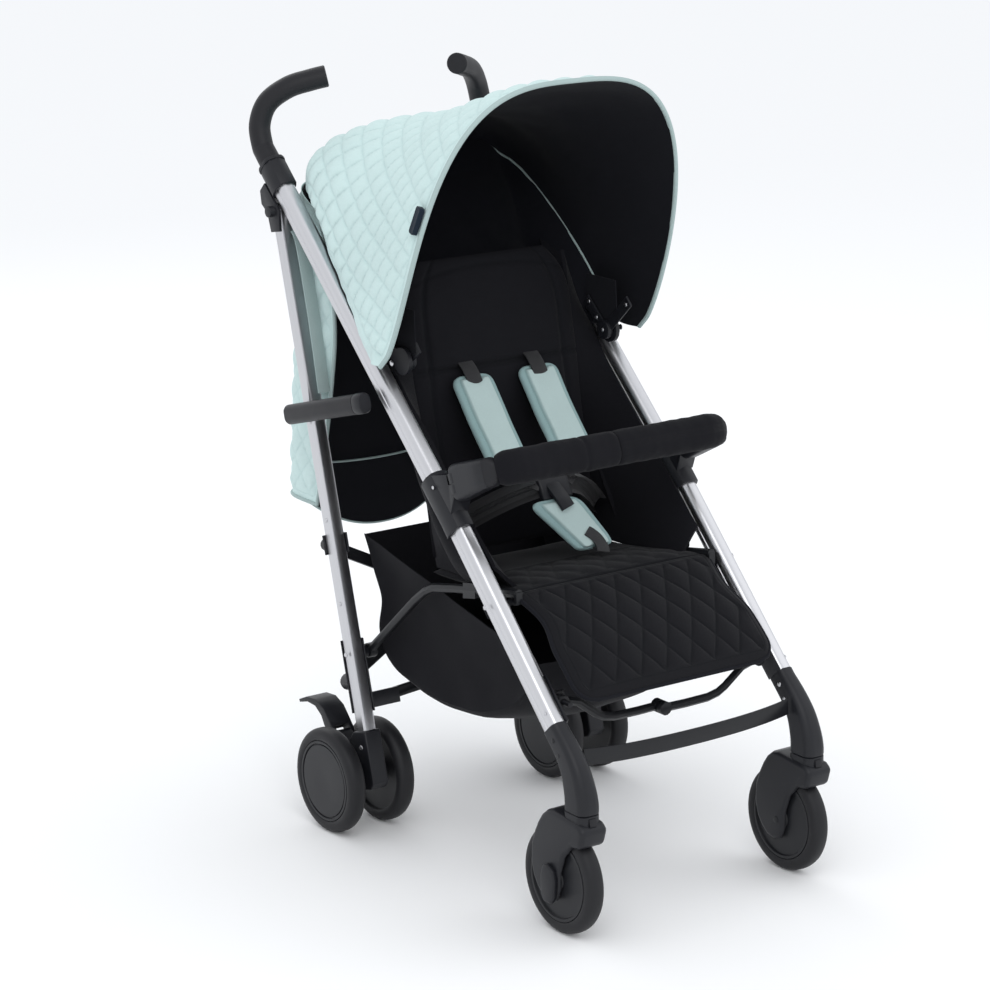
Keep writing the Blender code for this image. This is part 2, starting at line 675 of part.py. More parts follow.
def build_axle_housing(side, sign, body, palette):
    """The moulded foot of the rear leg: socket, axle boss, brake ear and the fixed axle."""
    x = sign * FRAME_HALF
    axle = (REAR_AXLE_Y, REAR_WHEEL_RADIUS)
    y, z = axle
    outline = [
        leg_point(LEG_LENGTH - 0.058, -0.0155), leg_point(LEG_LENGTH + 0.018, -0.0155),
        leg_point(LEG_LENGTH + 0.026, -0.006), (y - 0.016, z - 0.018),
        (y, z - 0.021), (y + 0.014, z - 0.015), (y + 0.021, z), (y + 0.036, z + 0.030),
        (y + 0.042, z + 0.047), (y + 0.036, z + 0.057), (y + 0.026, z + 0.056), (y + 0.006, z + 0.040),
        leg_point(LEG_LENGTH - 0.058, 0.0155),
    ]
    housing = finish(side + "_axle_housing", prism(outline, x - 0.0135, x + 0.0135), body, palette["plastic"])
    bevelled(housing, 0.0015)
    pocket = rounded_section(LEG_WIDTH + 2 * CLEARANCE, LEG_DEPTH + 2 * CLEARANCE, LEG_CORNER, 2)
    depths = (LEG_LENGTH - 0.070, LEG_LENGTH + CLEARANCE)
    cut(housing, body, loft([leg_ring(pocket, x, down) for down in depths]))
    reach = TWIN_HALF_SPACING + 0.004
    join(
        housing, body,
        cylinder(at(x - reach, axle), at(x + reach, axle), AXLE_RADIUS),
        cylinder(at(x - 0.0265, axle), at(x + 0.0265, axle), 0.012, 16),
        cylinder(at(x - 0.0225, brake_pivot()), at(x + 0.0225, brake_pivot()), 0.0035),
    )


def brake_pivot():
    return REAR_AXLE_Y + 0.033, REAR_WHEEL_RADIUS + 0.048


def build_brake_pedal(side, sign, body, palette):
    x = sign * FRAME_HALF
    y, z = brake_pivot()
    outline = [
        (y - 0.008, z + 0.003), (y - 0.003, z + 0.012), (y + 0.008, z + 0.024), (y + 0.022, z + 0.038),
        (y + 0.042, z + 0.046), (y + 0.066, z + 0.044), (y + 0.086, z + 0.035), (y + 0.084, z + 0.031),
        (y + 0.064, z + 0.037), (y + 0.044, z + 0.036), (y + 0.028, z + 0.026), (y + 0.018, z + 0.010),
        (y + 0.010, z - 0.004), (y + 0.002, z - 0.0085), (y - 0.006, z - 0.005),
    ]
    pedal = finish(side + "_brake_pedal", prism(outline, x - 0.0225, x + 0.0225), body, palette["plastic"])
    cut(
        pedal, body,
        cylinder(at(x - 0.0145, (y, z)), at(x + 0.0145, (y, z)), 0.0165, 16),
        cylinder(at(x - 0.03, (y, z)), at(x + 0.03, (y, z)), 0.0035 + RUNNING),
    )


def build_rear_wheel(side, sign, where, body, palette):
    """One of the twin wheels; its closed cap faces away from the leg."""
    away = sign if where == "outer" else -sign
    centre = (sign * FRAME_HALF + away * TWIN_HALF_SPACING, REAR_AXLE_Y, REAR_WHEEL_RADIUS)
    wheel = turned(wheel_profile(REAR_WHEEL_RADIUS, True), centre, -away)
    finish(side + "_rear_wheel_" + where, wheel, body, palette["rubber"])


def back_cylinder(x, down, start, end, radius, steps=16):
    """A cylinder that stands square behind the rear leg."""
    return cylinder(at(x, leg_point(down, start)), at(x, leg_point(down, end)), radius, steps)


def layer_start(side):
    """How far behind the leg's middle each cross bar lies: the two pass each other."""
    first = LEG_DEPTH / 2 + RUNNING + COLLAR_WALL + 0.007
    return first if side == "left" else first + BAR_THICK + 2 * LAYER_GAP


def build_leg_bracket(side, sign, body, palette):
    """The band low on the rear leg that the cross bar, the side link and the rear brace turn on."""
    x = sign * FRAME_HALF
    rings = leg_collar(x, LINK_PIVOT - 0.020, REAR_BRACE_AT + 0.016, 0.003, CLEARANCE)
    bracket = finish(side + "_leg_bracket", loft(rings, cyclic=True), body, palette["plastic"])
    behind = LEG_DEPTH / 2 + CLEARANCE + 0.001
    inward = Vector((-sign, 0, 0))
    link_eye = at(x, leg_point(LINK_PIVOT))
    brace_x = sign * REAR_BRACE_X
    lug = prism(
        [leg_point(REAR_BRACE_AT - 0.010, -0.011), leg_point(REAR_BRACE_AT + 0.012, -0.011),
         leg_point(REAR_BRACE_AT + 0.012, -0.005), leg_point(REAR_BRACE_AT - 0.010, -0.005)],
        *sorted((brace_x - sign * 0.010, sign * (FRAME_HALF - LEG_WIDTH / 2 - 0.001))),
    )
    join(
        bracket, body,
        back_cylinder(x, CROSS_LOW, behind, layer_start(side) - LAYER_GAP, 0.012, 16),
        back_cylinder(x, CROSS_LOW, behind, layer_start(side) + BAR_THICK + 0.001, PIN_RADIUS),
        cylinder(link_eye + inward * (LEG_WIDTH / 2 + 0.0015), link_eye + inward * 0.036, PIN_RADIUS),
        cylinder(link_eye + inward * (LEG_WIDTH / 2 + 0.0015), link_eye + inward * 0.0205, 0.009),
        lug,
        back_cylinder(brace_x, REAR_BRACE_AT, -0.008, REAR_BRACE_LAYERS[side] + 0.007, PIN_RADIUS),
    )


def build_cross_slider(side, sign, body, palette):
    """The collar that rides up the rear leg with the far cross bar's upper end behind it."""
    x = sign * FRAME_HALF
    rings = leg_collar(x, CROSS_HIGH - 0.014, CROSS_HIGH + 0.014, COLLAR_WALL, RUNNING)
    slider = finish(side + "_cross_slider", loft(rings, cyclic=True), body, palette["plastic"])
    other = "right" if side == "left" else "left"
    behind = LEG_DEPTH / 2 + RUNNING + 0.001
    join(slider, body, back_cylinder(x, CROSS_HIGH, behind, layer_start(other) - LAYER_GAP, 0.011, 14))


def build_cross_bar(side, sign, body, palette):
    """A flat bar from this side's lower bracket to the collar on the other leg."""
    start = layer_start(side)
    low, high = Vector((sign * FRAME_HALF, CROSS_LOW)), Vector((-sign * FRAME_HALF, CROSS_HIGH))
    direction = (high - low).normalized()
    square = Vector((-direction.y, direction.x))
    half = 0.0085
    corners = []
    for centre, turn in ((low, math.pi / 2), (high, -math.pi / 2)):
        for step in range(7):
            angle = turn + math.pi * step / 6
            corners.append(centre + direction * half * math.cos(angle) + square * half * math.sin(angle))
    rings = [[at(p.x, leg_point(p.y, start + deep)) for p in corners] for deep in (0, BAR_THICK)]
    bar = finish(side + "_cross_bar", loft(rings), body, palette["steel"])
    cut(bar, body, back_cylinder(
        sign * FRAME_HALF, CROSS_LOW, start - 0.005, start + BAR_THICK + 0.005, PIN_RADIUS + RUNNING
    ))


# Rear brace: two flat bars between the lower brackets, lapped in the middle
REAR_BRACE_X = FRAME_HALF - 0.047
REAR_BRACE_RISE = 0.012
REAR_BRACE_LAYERS = {"left": -0.0045, "right": 0.0025}


def build_rear_brace(side, sign, body, palette):
    start = REAR_BRACE_LAYERS[side]
    low = Vector((sign * REAR_BRACE_X, REAR_BRACE_AT))
    high = Vector((0, REAR_BRACE_AT - REAR_BRACE_RISE))
    direction = (high - low).normalized()
    square = Vector((-direction.y, direction.x))
    half = 0.008
    corners = []
    for centre, turn in ((low, math.pi / 2), (high, -math.pi / 2)):
        for step in range(7):
            angle = turn + math.pi * step / 6
            corners.append(centre + direction * half * math.cos(angle) + square * half * math.sin(angle))
    rings = [[at(p.x, leg_point(p.y, start + deep)) for p in corners] for deep in (0, 0.005)]
    bar = finish(side + "_rear_brace", loft(rings), body, palette["steel"])
    cut(bar, body, back_cylinder(
        sign * REAR_BRACE_X, REAR_BRACE_AT, start - 0.003, start + 0.008, PIN_RADIUS + RUNNING
    ))


def build_side_link(side, sign, body, palette):
    """The bent tube that holds the rear leg open, hooked over the clip on the lower tube."""
    x = sign * LINK_X
    eye = at(x, leg_point(LINK_PIVOT))
    hook = lower_point(HOOK_ALONG)
    rest_z = hook[1] + 0.0045 + RUNNING + LINK_RADIUS
    bend = (x, 0.0116, 0.376)
    path = [eye]
    path += smooth_path([
        (x, 0.085, 0.3145), bend, (x, -0.040, 0.3925), (x, -0.100, 0.4045), (x, hook[0], rest_z),
    ], 3)
    path.append((x, hook[0] - 0.012, rest_z + 0.002))
    link = finish(side + "_side_link", swept(path, round_section(LINK_RADIUS, 8)), body, palette["steel"])
    wide = Vector((LINK_RADIUS - 0.0002, 0, 0))
    lip = [
        (hook[0] - 0.0075, hook[1] - 0.003), (hook[0] - 0.0075, rest_z), (hook[0] - 0.013, rest_z + 0.004),
        (hook[0] - 0.014, hook[1] - 0.001),
    ]
    knuckle = [(-0.112, 0.396), (-0.112, 0.417), (-0.084, 0.412), (-0.084, 0.390)]
    join(
        link, body, cylinder(eye - wide, eye + wide, 0.0105),
        prism(lip, x - 0.005, x + 0.005),
        prism(knuckle, x - 0.0075, x + 0.0063) if sign > 0 else prism(knuckle, x - 0.0063, x + 0.0075),
    )
    cut(link, body, cylinder(eye - wide * 3, eye + wide * 3, PIN_RADIUS + RUNNING))


def build_bumper(side, sign, body, palette):
    """Half of the bumper bar: the plastic arm and the padded bar, with a plate that laps its twin's."""
    forward, up = bumper_axes()
    pivot = at(sign * FRAME_HALF, BUMPER_PIVOT)
    inward = Vector((-sign, 0, 0))
    path = [pivot + forward * 0.0195, pivot + forward * (BUMPER_REACH - BUMPER_BEND)]
    shares = [0.55, 0.66]
    for step in range(1, 5):
        angle = math.pi / 2 * step / 4
        centre = pivot + forward * (BUMPER_REACH - BUMPER_BEND) + inward * BUMPER_BEND
        path.append(centre + (forward * math.sin(angle) - inward * math.cos(angle)) * BUMPER_BEND)
        shares.append(0.72 + 0.07 * step)
    path += [pivot + forward * BUMPER_REACH + inward * 0.100]
    path += [pivot + forward * BUMPER_REACH + inward * (FRAME_HALF - BUMPER_END_GAP)]
    shares += [1.0, 1.0]
    rings = []
    for i, point in enumerate(path):
        tangent = (path[min(i + 1, len(path) - 1)] - path[max(i - 1, 0)]).normalized()
        deep, share = up.cross(tangent), shares[i]
        tall = BUMPER_TALL * (0.80 + 0.20 * share)
        section = rounded_section(BUMPER_DEEP * share, tall, 0.45 * min(BUMPER_DEEP * share, tall), 2)
        rings.append(ring(section, point, deep, up))
    middle = path[-1]
    rings[-1] = [point + inward * (point - middle).dot(forward) * BUMPER_MITRE for point in rings[-1]]
    bar = finish(side + "_bumper_bar", loft(rings), body, palette["black_cloth"])
    neck = [
        pivot + forward * 0.005 - inward * 0.0095, pivot + forward * 0.026 - inward * 0.0065,
        pivot + forward * 0.026 + inward * 0.0065, pivot + forward * 0.005 + inward * 0.0095,
    ]
    join(
        bar, body,
        cylinder(pivot + up * CLEARANCE, pivot + up * 0.0135, 0.0165, 16),
        loft([[p + up * CLEARANCE for p in neck], [p + up * 0.0135 for p in neck]]),
    )
    cut(bar, body, cylinder(pivot - up * 0.01, pivot + up * 0.03, PIN_RADIUS + RUNNING))
    tongue, kerf = (0.003, -0.0118) if side == "left" else (-0.011, 0.0022)

    def plate(start, end, half, low, thick):
        near = pivot + forward * BUMPER_REACH + inward * start
        far = pivot + forward * BUMPER_REACH + inward * end
        corners = (near - forward * half, near + forward * half, far + forward * half, far - forward * half)
        return loft([[point + up * height for point in corners] for height in (low, low + thick)])

    cut(bar, body, plate(FRAME_HALF - 0.027, FRAME_HALF + 0.010, 0.030, kerf, 0.0096))
    join(bar, body, plate(FRAME_HALF - 0.035, FRAME_HALF + 0.0065, 0.006, tongue, 0.008))


def build_carry_handle(body, palette):
    """The grip on the child's right rear leg, for carrying the folded pushchair."""
    x = -FRAME_HALF
    low_s, high_s = 0.2565, 0.2905
    inner, outer = x - 0.0185, x - 0.0385
    middle_s = (low_s + high_s) / 2
    section = rounded_section(inner - outer, high_s - low_s, 0.0095, 3)
    centre_x = (inner + outer) / 2
    rings = []
    for back, scale in ((0.021, 0.86), (0.018, 1.0), (-0.160, 1.0), (-0.176, 0.97), (-0.179, 0.84)):
        rings.append(ring(section, at(centre_x, leg_point(middle_s, back)), (1, 0, 0), LEG_DOWN, scale))
    handle = finish("right_carry_handle", loft(rings), body, palette["grip"])
    eye = at(x, leg_point(middle_s))
    join(handle, body, cylinder(
        eye - Vector((LEG_WIDTH / 2 + CLEARANCE, 0, 0)), eye - Vector((0.024, 0, 0)), 0.010, 14
    ))


# Seat, hood and other fabric

def slab(name, outline, low_x, high_x, body, material, soften=0.005, segments=1):
    obj = finish(name, prism(outline, low_x, high_x), body, material)
    return bevelled(obj, soften, segments)


def build_seat(bodies, palette):
    """The seat cushion with its side wings, the backrest and the calf rest."""
    cushion = [(-0.190, 0.430), (-0.190, 0.398), (0.030, 0.380), (0.034, 0.405), (-0.060, 0.414)]
    seat = slab("seat_pad", cushion, -SEAT_HALF, SEAT_HALF, bodies["root"], palette["black_cloth"], 0.006)
    wing = [
        (0.028, 0.384), (-0.186, 0.402), (-0.178, 0.432), (-0.126, 0.478), (-0.032, 0.574), (0.063, 0.674),
        (0.114, 0.800), (0.126, 0.800), (0.046, 0.410),
    ]
    join(seat, bodies["root"], *(
        prism(wing, *sorted((sign * SEAT_HALF, sign * (SEAT_HALF - WING_THICK + 0.001))))
        for sign in SIDES.values()
    ))
    hem = [
        upper_point(0.075, -0.012), upper_point(0.235, -0.012), upper_point(0.235, 0.001),
        upper_point(0.075, 0.001),
    ]
    reach = FRAME_HALF - TUBE_WIDTH / 2 - CLEARANCE
    join(seat, bodies["root"], *(
        prism(hem, *sorted((sign * reach, sign * (SEAT_HALF - 0.006)))) for sign in SIDES.values()
    ))
    back = [(0.0100, 0.4160), (0.0965, 0.8130), (0.1080, 0.8180), (0.1240, 0.8100), (0.0370, 0.4095)]
    slab("backrest", back, -BACK_HALF, BACK_HALF, bodies["backrest"], palette["black_cloth"], 0.008)
    calf = [(-0.1908, 0.4290), (-0.345, 0.309), (-0.333, 0.292), (-0.1908, 0.398)]
    half = SEAT_HALF - 0.002
    slab("calf_rest", calf, -half, half, bodies["calf_rest"], palette["black_cloth"], 0.007)


def build_harness(bodies, palette):
    for side, sign in SIDES.items():
        x = sign * 0.050
        path = [
            (x, 0.0705, 0.712), (x, 0.0668, 0.700), (x, 0.0500, 0.660),
            (x, 0.010, 0.600), (x, -0.024, 0.545),
        ]
        pad = swept(path, rounded_section(0.044, 0.011, 0.005, 2), scales=[0.55, 0.8, 1.0, 1.0, 0.9])
        finish(side + "_shoulder_pad", pad, bodies["backrest"], palette["mint_cloth"])
    path = [
        (0, -0.130, 0.4268), (0, -0.114, 0.4310), (0, -0.096, 0.452),
        (0, -0.078, 0.476), (0, -0.0650, 0.4953),
    ]
    pad = swept(path, rounded_section(0.052, 0.011, 0.005, 2), scales=[0.7, 1.0, 1.0, 0.95, 0.8])
    finish("crotch_pad", pad, bodies["root"], palette["mint_cloth"])
    outline = [(-0.0735, 0.5005), (-0.0625, 0.4965), (-0.040, 0.533), (-0.051, 0.538)]
    buckle = finish("harness_buckle", prism(outline, -0.026, 0.026), bodies["root"], palette["plastic"])
    bevelled(buckle, 0.003, 1)


def arch(base, top, half, bulge=3.0, steps=12, lean=1.0):
    """Points of an arch from the child's right to the left, through base and top in side view."""
    points = []
    for step in range(steps + 1):
        angle = math.pi * step / steps
        x = -half * math.copysign(abs(math.cos(angle)) ** (2 / bulge), math.cos(angle))
        share = abs(math.sin(angle)) ** (2 / bulge)
        y = base[0] + (top[0] - base[0]) * share ** lean
        points.append(Vector((x, y, base[1] + (top[1] - base[1]) * share)))
    return points


def sheet(name, rows, body, material, thickness=FABRIC, outward=1.0):
    """A cloth shell: neighbouring rows of points bridged, then given its thickness."""
    data = bmesh.new()
    grid = [[data.verts.new(point) for point in row] for row in rows]
    for first, second in zip(grid, grid[1:]):
        for i in range(len(first) - 1):
            data.faces.new((first[i], first[i + 1], second[i + 1], second[i]))
    obj = finish(name, data, body, material)
    solid = obj.modifiers.new("cloth", "SOLIDIFY")
    solid.thickness = thickness
    solid.offset = outward
    return obj


def build_canopy(bodies, palette):
    rows = [
        arch((0.022, 0.726), (-0.100, 1.080), BOW_HALF, 3.1, lean=0.65),
        arch((0.038, 0.725), (-0.062, 1.073), CANOPY_HALF, 3.6),
        arch((0.060, 0.696), (-0.005, 1.057), CANOPY_HALF, 3.6),
        arch((0.088, 0.706), (0.085, 1.025), CANOPY_HALF, 3.4),
        arch((0.120, 0.7375), (0.170, 1.003), CANOPY_HALF, 3.4),
        arch((0.160, 0.775), (0.247, 0.988), CANOPY_HALF, 3.6),
        arch((0.215, 0.828), (0.308, 0.958), CANOPY_HALF - 0.002, 3.8),
        arch((0.268, 0.868), (0.338, 0.902), CANOPY_HALF - 0.0117, 3.0),
    ]
    sheet("canopy", rows, bodies["canopy"], palette["mint_cloth"])


def build_rear_flap(bodies, palette):
    """The tail of the hood, hanging from its rear edge behind the backrest."""
    top = arch((0.2686, 0.8640), (0.3394, 0.9018), FLAP_HALF, steps=8)
    rows = []
    for fall in (0, 0.2, 0.45, 0.72, 1):
        row = []
        for point in top:
            share = point.x / FLAP_HALF
            low_y, low_z = 0.378 - 0.040 * abs(share) ** 3, 0.388 + 0.058 * share * share
            low = Vector((point.x - share * 0.008, low_y, low_z))
            ease = 1 - (1 - fall) ** 2
            row.append(Vector((
                point.x + (low.x - point.x) * fall,
                point.y + (low.y - point.y) * ease,
                point.z + (low.z - point.z) * fall,
            )))
        rows.append(row)
    sheet("rear_flap", rows, bodies["root"], palette["mint_cloth"])


def build_basket(bodies, palette):
    """An open bag slung between the rear legs and the side tubes."""
    outline = [
        (0.158, 0.402), (0.118, 0.300), (0.100, 0.205), (0.020, 0.188), (-0.110, 0.206), (-0.190, 0.262),
        (-0.215, 0.330),
    ]
    data = prism(outline, -BASKET_HALF, BASKET_HALF)
    data.faces.ensure_lookup_table()
    top = max(data.faces, key=lambda face: face.calc_center_median().z if len(face.verts) == 4 else -1)
    bmesh.ops.delete(data, geom=[top], context="FACES_ONLY")
    obj = finish("basket", data, bodies["root"], palette["black_cloth"])
    solid = obj.modifiers.new("cloth", "SOLIDIFY")
    solid.thickness = FABRIC
    solid.offset = -1
    tab = [
        (0.120, 0.336), (0.120, 0.352), leg_point(LEG_LENGTH - 0.257, 0.004),
        leg_point(LEG_LENGTH - 0.240, 0.004),
    ]
    reach = FRAME_HALF - LEG_WIDTH / 2 - CLEARANCE
    join(obj, bodies["root"], *(
        prism(tab, *sorted((sign * reach, sign * (BASKET_HALF - 0.0012)))) for sign in SIDES.values()
    ))


def build_straps(bodies, palette):
    for side, sign in SIDES.items():
        x = sign * (FRAME_HALF - 0.012)
        top, low = leg_point(0.0315, -0.0120), leg_point(0.262, -0.0145)
        path = [at(x, top), at(x, leg_point(0.060, -0.0205)), at(x, leg_point(0.150, -0.0205)), at(x, low)]
        strap = swept(path, rounded_section(0.020, 0.0018, 0.0008, 1))
        finish(side + "_recline_strap", strap, bodies["root"], palette["mint_cloth"])
    path = []
    reach = FRAME_HALF - 0.0192
    for step in range(9):
        share = -1 + 2 * step / 8
        path.append((share * reach, -0.357 - 0.012 * (1 - share * share), 0.246 - 0.018 * (1 - share ** 4)))
    strap = swept(path, rounded_section(0.018, 0.003, 0.001, 1), across=(0, 0, 1))
    finish("foot_strap", strap, bodies["root"], palette["rubber"])


def build_side(side, sign, root, palette):
    x = sign * FRAME_HALF
    frame = make_body(side + "_side", (x, KNEE_Y, KNEE_Z), root)
    build_tubes(side, sign, frame, palette)
    build_handle(side, sign, frame, palette)
    build_bumper_bracket(side, sign, frame, palette)
    build_canopy_hinge(side, sign, frame, palette)
    build_link_clamp(side, sign, frame, palette)
    build_lower_leg(side, sign, frame, palette)
    caster = make_body(side + "_caster", (x, SWIVEL_Y, SWIVEL_SEAM_Z), frame)
    build_fork(side, sign, caster, palette)
    wheel_place = (x, SWIVEL_Y + CASTER_TRAIL, FRONT_WHEEL_RADIUS)
    build_front_wheel(side, sign, make_body(side + "_front_wheel", wheel_place, caster), palette)
    build_swivel_lock(side, sign, make_body(side + "_swivel_lock", (x, SWIVEL_Y, 0.165), caster), palette)
    leg = make_body(side + "_leg", at(x, LEG_PIVOT), frame)
    build_rear_leg(side, sign, leg, palette)
    build_axle_housing(side, sign, leg, palette)
    build_leg_bracket(side, sign, leg, palette)
    if side == "right":
        build_carry_handle(leg, palette)
    for where in ("outer", "inner"):
        place = (x, REAR_AXLE_Y, REAR_WHEEL_RADIUS)
        wheel = make_body(side + "_rear_wheel_" + where, place, leg)
        build_rear_wheel(side, sign, where, wheel, palette)
    build_brake_pedal(side, sign, make_body(side + "_brake", at(x, brake_pivot()), leg), palette)
    link = make_body(side + "_link", at(sign * LINK_X, leg_point(LINK_PIVOT)), leg)
    build_side_link(side, sign, link, palette)
    build_cross_slider(side, sign, make_body(side + "_slider", at(x, leg_point(CROSS_HIGH)), leg), palette)
    build_cross_bar(side, sign, make_body(side + "_cross", at(x, leg_point(CROSS_LOW)), leg), palette)
    brace_place = at(sign * REAR_BRACE_X, leg_point(REAR_BRACE_AT))
    build_rear_brace(side, sign, make_body(side + "_rear_brace", brace_place, leg), palette)
    front_place = (sign * FRONT_BRACE_X, FRONT_BRACE_LAYERS[side], FRONT_BRACE_Z)
    build_front_brace(side, sign, make_body(side + "_front_brace", front_place, frame), palette)
    build_bumper(side, sign, make_body(side + "_bumper", at(x, BUMPER_PIVOT), frame), palette)


def main():
    clear_scene()
    palette = make_palette()
    root = make_body("pushchair", (0, 0, 0))
    root["empty"].location.y = FRAME_SHIFT
    bodies = {
        "root": root,
        "backrest": make_body("backrest", (0, 0.030, 0.412), root),
        "calf_rest": make_body("calf_rest", (0, -0.190, 0.410), root),
        "canopy": make_body("canopy", (0, *CANOPY_PIVOT), root),
    }
    for side, sign in SIDES.items():
        build_side(side, sign, root, palette)
    build_seat(bodies, palette)
    build_harness(bodies, palette)
    build_canopy(bodies, palette)
    build_rear_flap(bodies, palette)
    build_basket(bodies, palette)
    build_straps(bodies, palette)


main()
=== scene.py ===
"""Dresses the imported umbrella-fold pushchair: cloth, tyres, mouldings, finishes and a plain studio.

Side-view places are (y, z) pairs in the drawing's own frame. SHIFT moves them to the model's.
"""
from __future__ import annotations

import logging
import math
from contextlib import contextmanager
from dataclasses import dataclass
from enum import Enum
from itertools import accumulate
from typing import Callable, Iterable, Iterator, Sequence

import bpy
from mathutils import Matrix, Vector, noise

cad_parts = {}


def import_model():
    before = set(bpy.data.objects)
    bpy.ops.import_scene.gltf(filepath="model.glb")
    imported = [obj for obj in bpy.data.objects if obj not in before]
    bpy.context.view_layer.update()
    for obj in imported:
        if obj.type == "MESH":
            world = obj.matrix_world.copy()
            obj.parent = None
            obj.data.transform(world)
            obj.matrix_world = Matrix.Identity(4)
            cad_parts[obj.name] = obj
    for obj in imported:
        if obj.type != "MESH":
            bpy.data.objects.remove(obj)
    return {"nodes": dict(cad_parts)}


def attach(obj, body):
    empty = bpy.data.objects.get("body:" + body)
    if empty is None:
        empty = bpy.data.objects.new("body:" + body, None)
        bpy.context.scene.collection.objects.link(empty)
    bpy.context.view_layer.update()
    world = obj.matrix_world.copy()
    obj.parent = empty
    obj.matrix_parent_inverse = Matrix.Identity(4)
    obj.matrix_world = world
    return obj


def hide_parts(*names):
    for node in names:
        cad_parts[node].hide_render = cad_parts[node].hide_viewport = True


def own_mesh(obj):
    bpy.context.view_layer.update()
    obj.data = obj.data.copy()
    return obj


LOG = logging.getLogger("pushchair")

SHIFT = 0.0117
FRAME_HALF = 0.193
KNEE = (-0.0933, 0.5100)
UPPER_LEAN, LOWER_LEAN = math.radians(43.4), math.radians(45.8)
TUBE_WIDTH, TUBE_DEPTH, TUBE_CORNER = 0.024, 0.030, 0.0085
UPPER_LENGTH, LOWER_SHOWN = 0.585, 0.334
LEG_LEAN = math.radians(15.8)
LEG_WIDTH, LEG_DEPTH = 0.020, 0.022
WHEEL_WIDTH = 0.028
REAR_AXLE = (0.1505, 0.0755)
FRONT_AXLE = (-0.3415, 0.0745)
SWIVEL = (-0.378, 0.178)
CANOPY_PIVOT = (0.045, 0.695)
MINT = (0.590, 0.742, 0.728)
HOOD_DIAMOND = (0.042, 0.047)
PAD_DIAMOND = (0.042, 0.070)
BUMPER_PIVOT, BUMPER_RISE, BUMPER_REACH = (-0.112, 0.562), math.radians(22.6), 0.0845
FOLD_KEEP, BASKET_KEEP = 0.61, 0.40
HOOD_LEVEL, SEAT_LEVEL, BASKET_LEVEL, FOOT_LEVEL = 0.9, 0.5, 0.3, 0.2
WALL_GAP = 0.0004
MERGE_DISTANCE = 1e-5
QUILT_FADE = 0.008
STITCH_DEPTH, STITCH_REACH = 0.0012, 0.0035

Point = tuple[float, float]
Rings = list[list[Vector]]
Piece = bpy.types.Object
Material = bpy.types.Material


class Side(Enum):
    """The child's left is +X, and the child's right -X."""

    LEFT = 1
    RIGHT = -1

    @property
    def word(self) -> str:
        """The side as it stands in piece and body names."""
        return self.name.lower()


def place(x: float, point: Sequence[float]) -> Vector:
    """A point of the model from its place across and its (y, z) in side view."""
    return Vector((x, point[0] + SHIFT, point[1]))


def upper_point(along: float, ahead: float = 0.0) -> Point:
    """A side-view point on or ahead of the upper tube's middle line."""
    return (
        KNEE[0] + along * math.cos(UPPER_LEAN) - ahead * math.sin(UPPER_LEAN),
        KNEE[1] + along * math.sin(UPPER_LEAN) + ahead * math.cos(UPPER_LEAN),
    )


def lower_point(along: float, ahead: float = 0.0) -> Point:
    """A side-view point on or ahead of the lower tube's middle line, measured down."""
    return (
        KNEE[0] - along * math.cos(LOWER_LEAN) - ahead * math.sin(LOWER_LEAN),
        KNEE[1] - along * math.sin(LOWER_LEAN) + ahead * math.cos(LOWER_LEAN),
    )


def tube_point(along: float, ahead: float) -> Point:
    """A side-view point by the upper tube, or by the lower one where along is negative."""
    return upper_point(along, ahead) if along > 0 else lower_point(-along, ahead)


LEG_PIVOT = upper_point(0.545, -0.029)
UPPER_DEEP = Vector((0, -math.sin(UPPER_LEAN), math.cos(UPPER_LEAN)))
LOWER_DEEP = Vector((0, -math.sin(LOWER_LEAN), math.cos(LOWER_LEAN)))
LEG_BACK = Vector((0, math.cos(LEG_LEAN), -math.sin(LEG_LEAN)))
ACROSS = Vector((1, 0, 0))


def leg_point(down: float, back: float = 0.0) -> Point:
    """A side-view point on or behind the rear leg's middle line, measured down."""
    return (
        LEG_PIVOT[0] - math.sin(LEG_LEAN) * down + math.cos(LEG_LEAN) * back,
        LEG_PIVOT[1] - math.cos(LEG_LEAN) * down - math.sin(LEG_LEAN) * back,
    )


# Shader graphs


def operator(operation: str, swapped: bool = False) -> Callable[..., "Socket"]:
    """Makes a method of Socket that adds one Math node.

    Args:
        operation: the Math node's operation.
        swapped: whether the other value comes first.

    Returns:
        The method.
    """

    def act(self: "Socket", *others: object) -> "Socket":
        values = (*others, self) if swapped else (self, *others)
        return self.graph.node("ShaderNodeMath", {"operation": operation}, dict(enumerate(values)))

    return act


class Socket:
    """A node socket that takes part in arithmetic by adding Math nodes."""

    __add__ = operator("ADD")
    __sub__ = operator("SUBTRACT")
    __rsub__ = operator("SUBTRACT", swapped=True)
    __mul__ = operator("MULTIPLY")
    sine = operator("SINE")
    magnitude = operator("ABSOLUTE")
    largest = operator("MAXIMUM")
    smallest = operator("MINIMUM")
    bounced = operator("PINGPONG")

    def __init__(self, graph: "Graph", output: bpy.types.NodeSocket) -> None:
        """Wraps one output socket of a graph."""
        self.graph = graph
        self.output = output

    def from_whole(self) -> "Socket":
        """How far the value is from the nearest whole number."""
        return self.bounced(0.5)


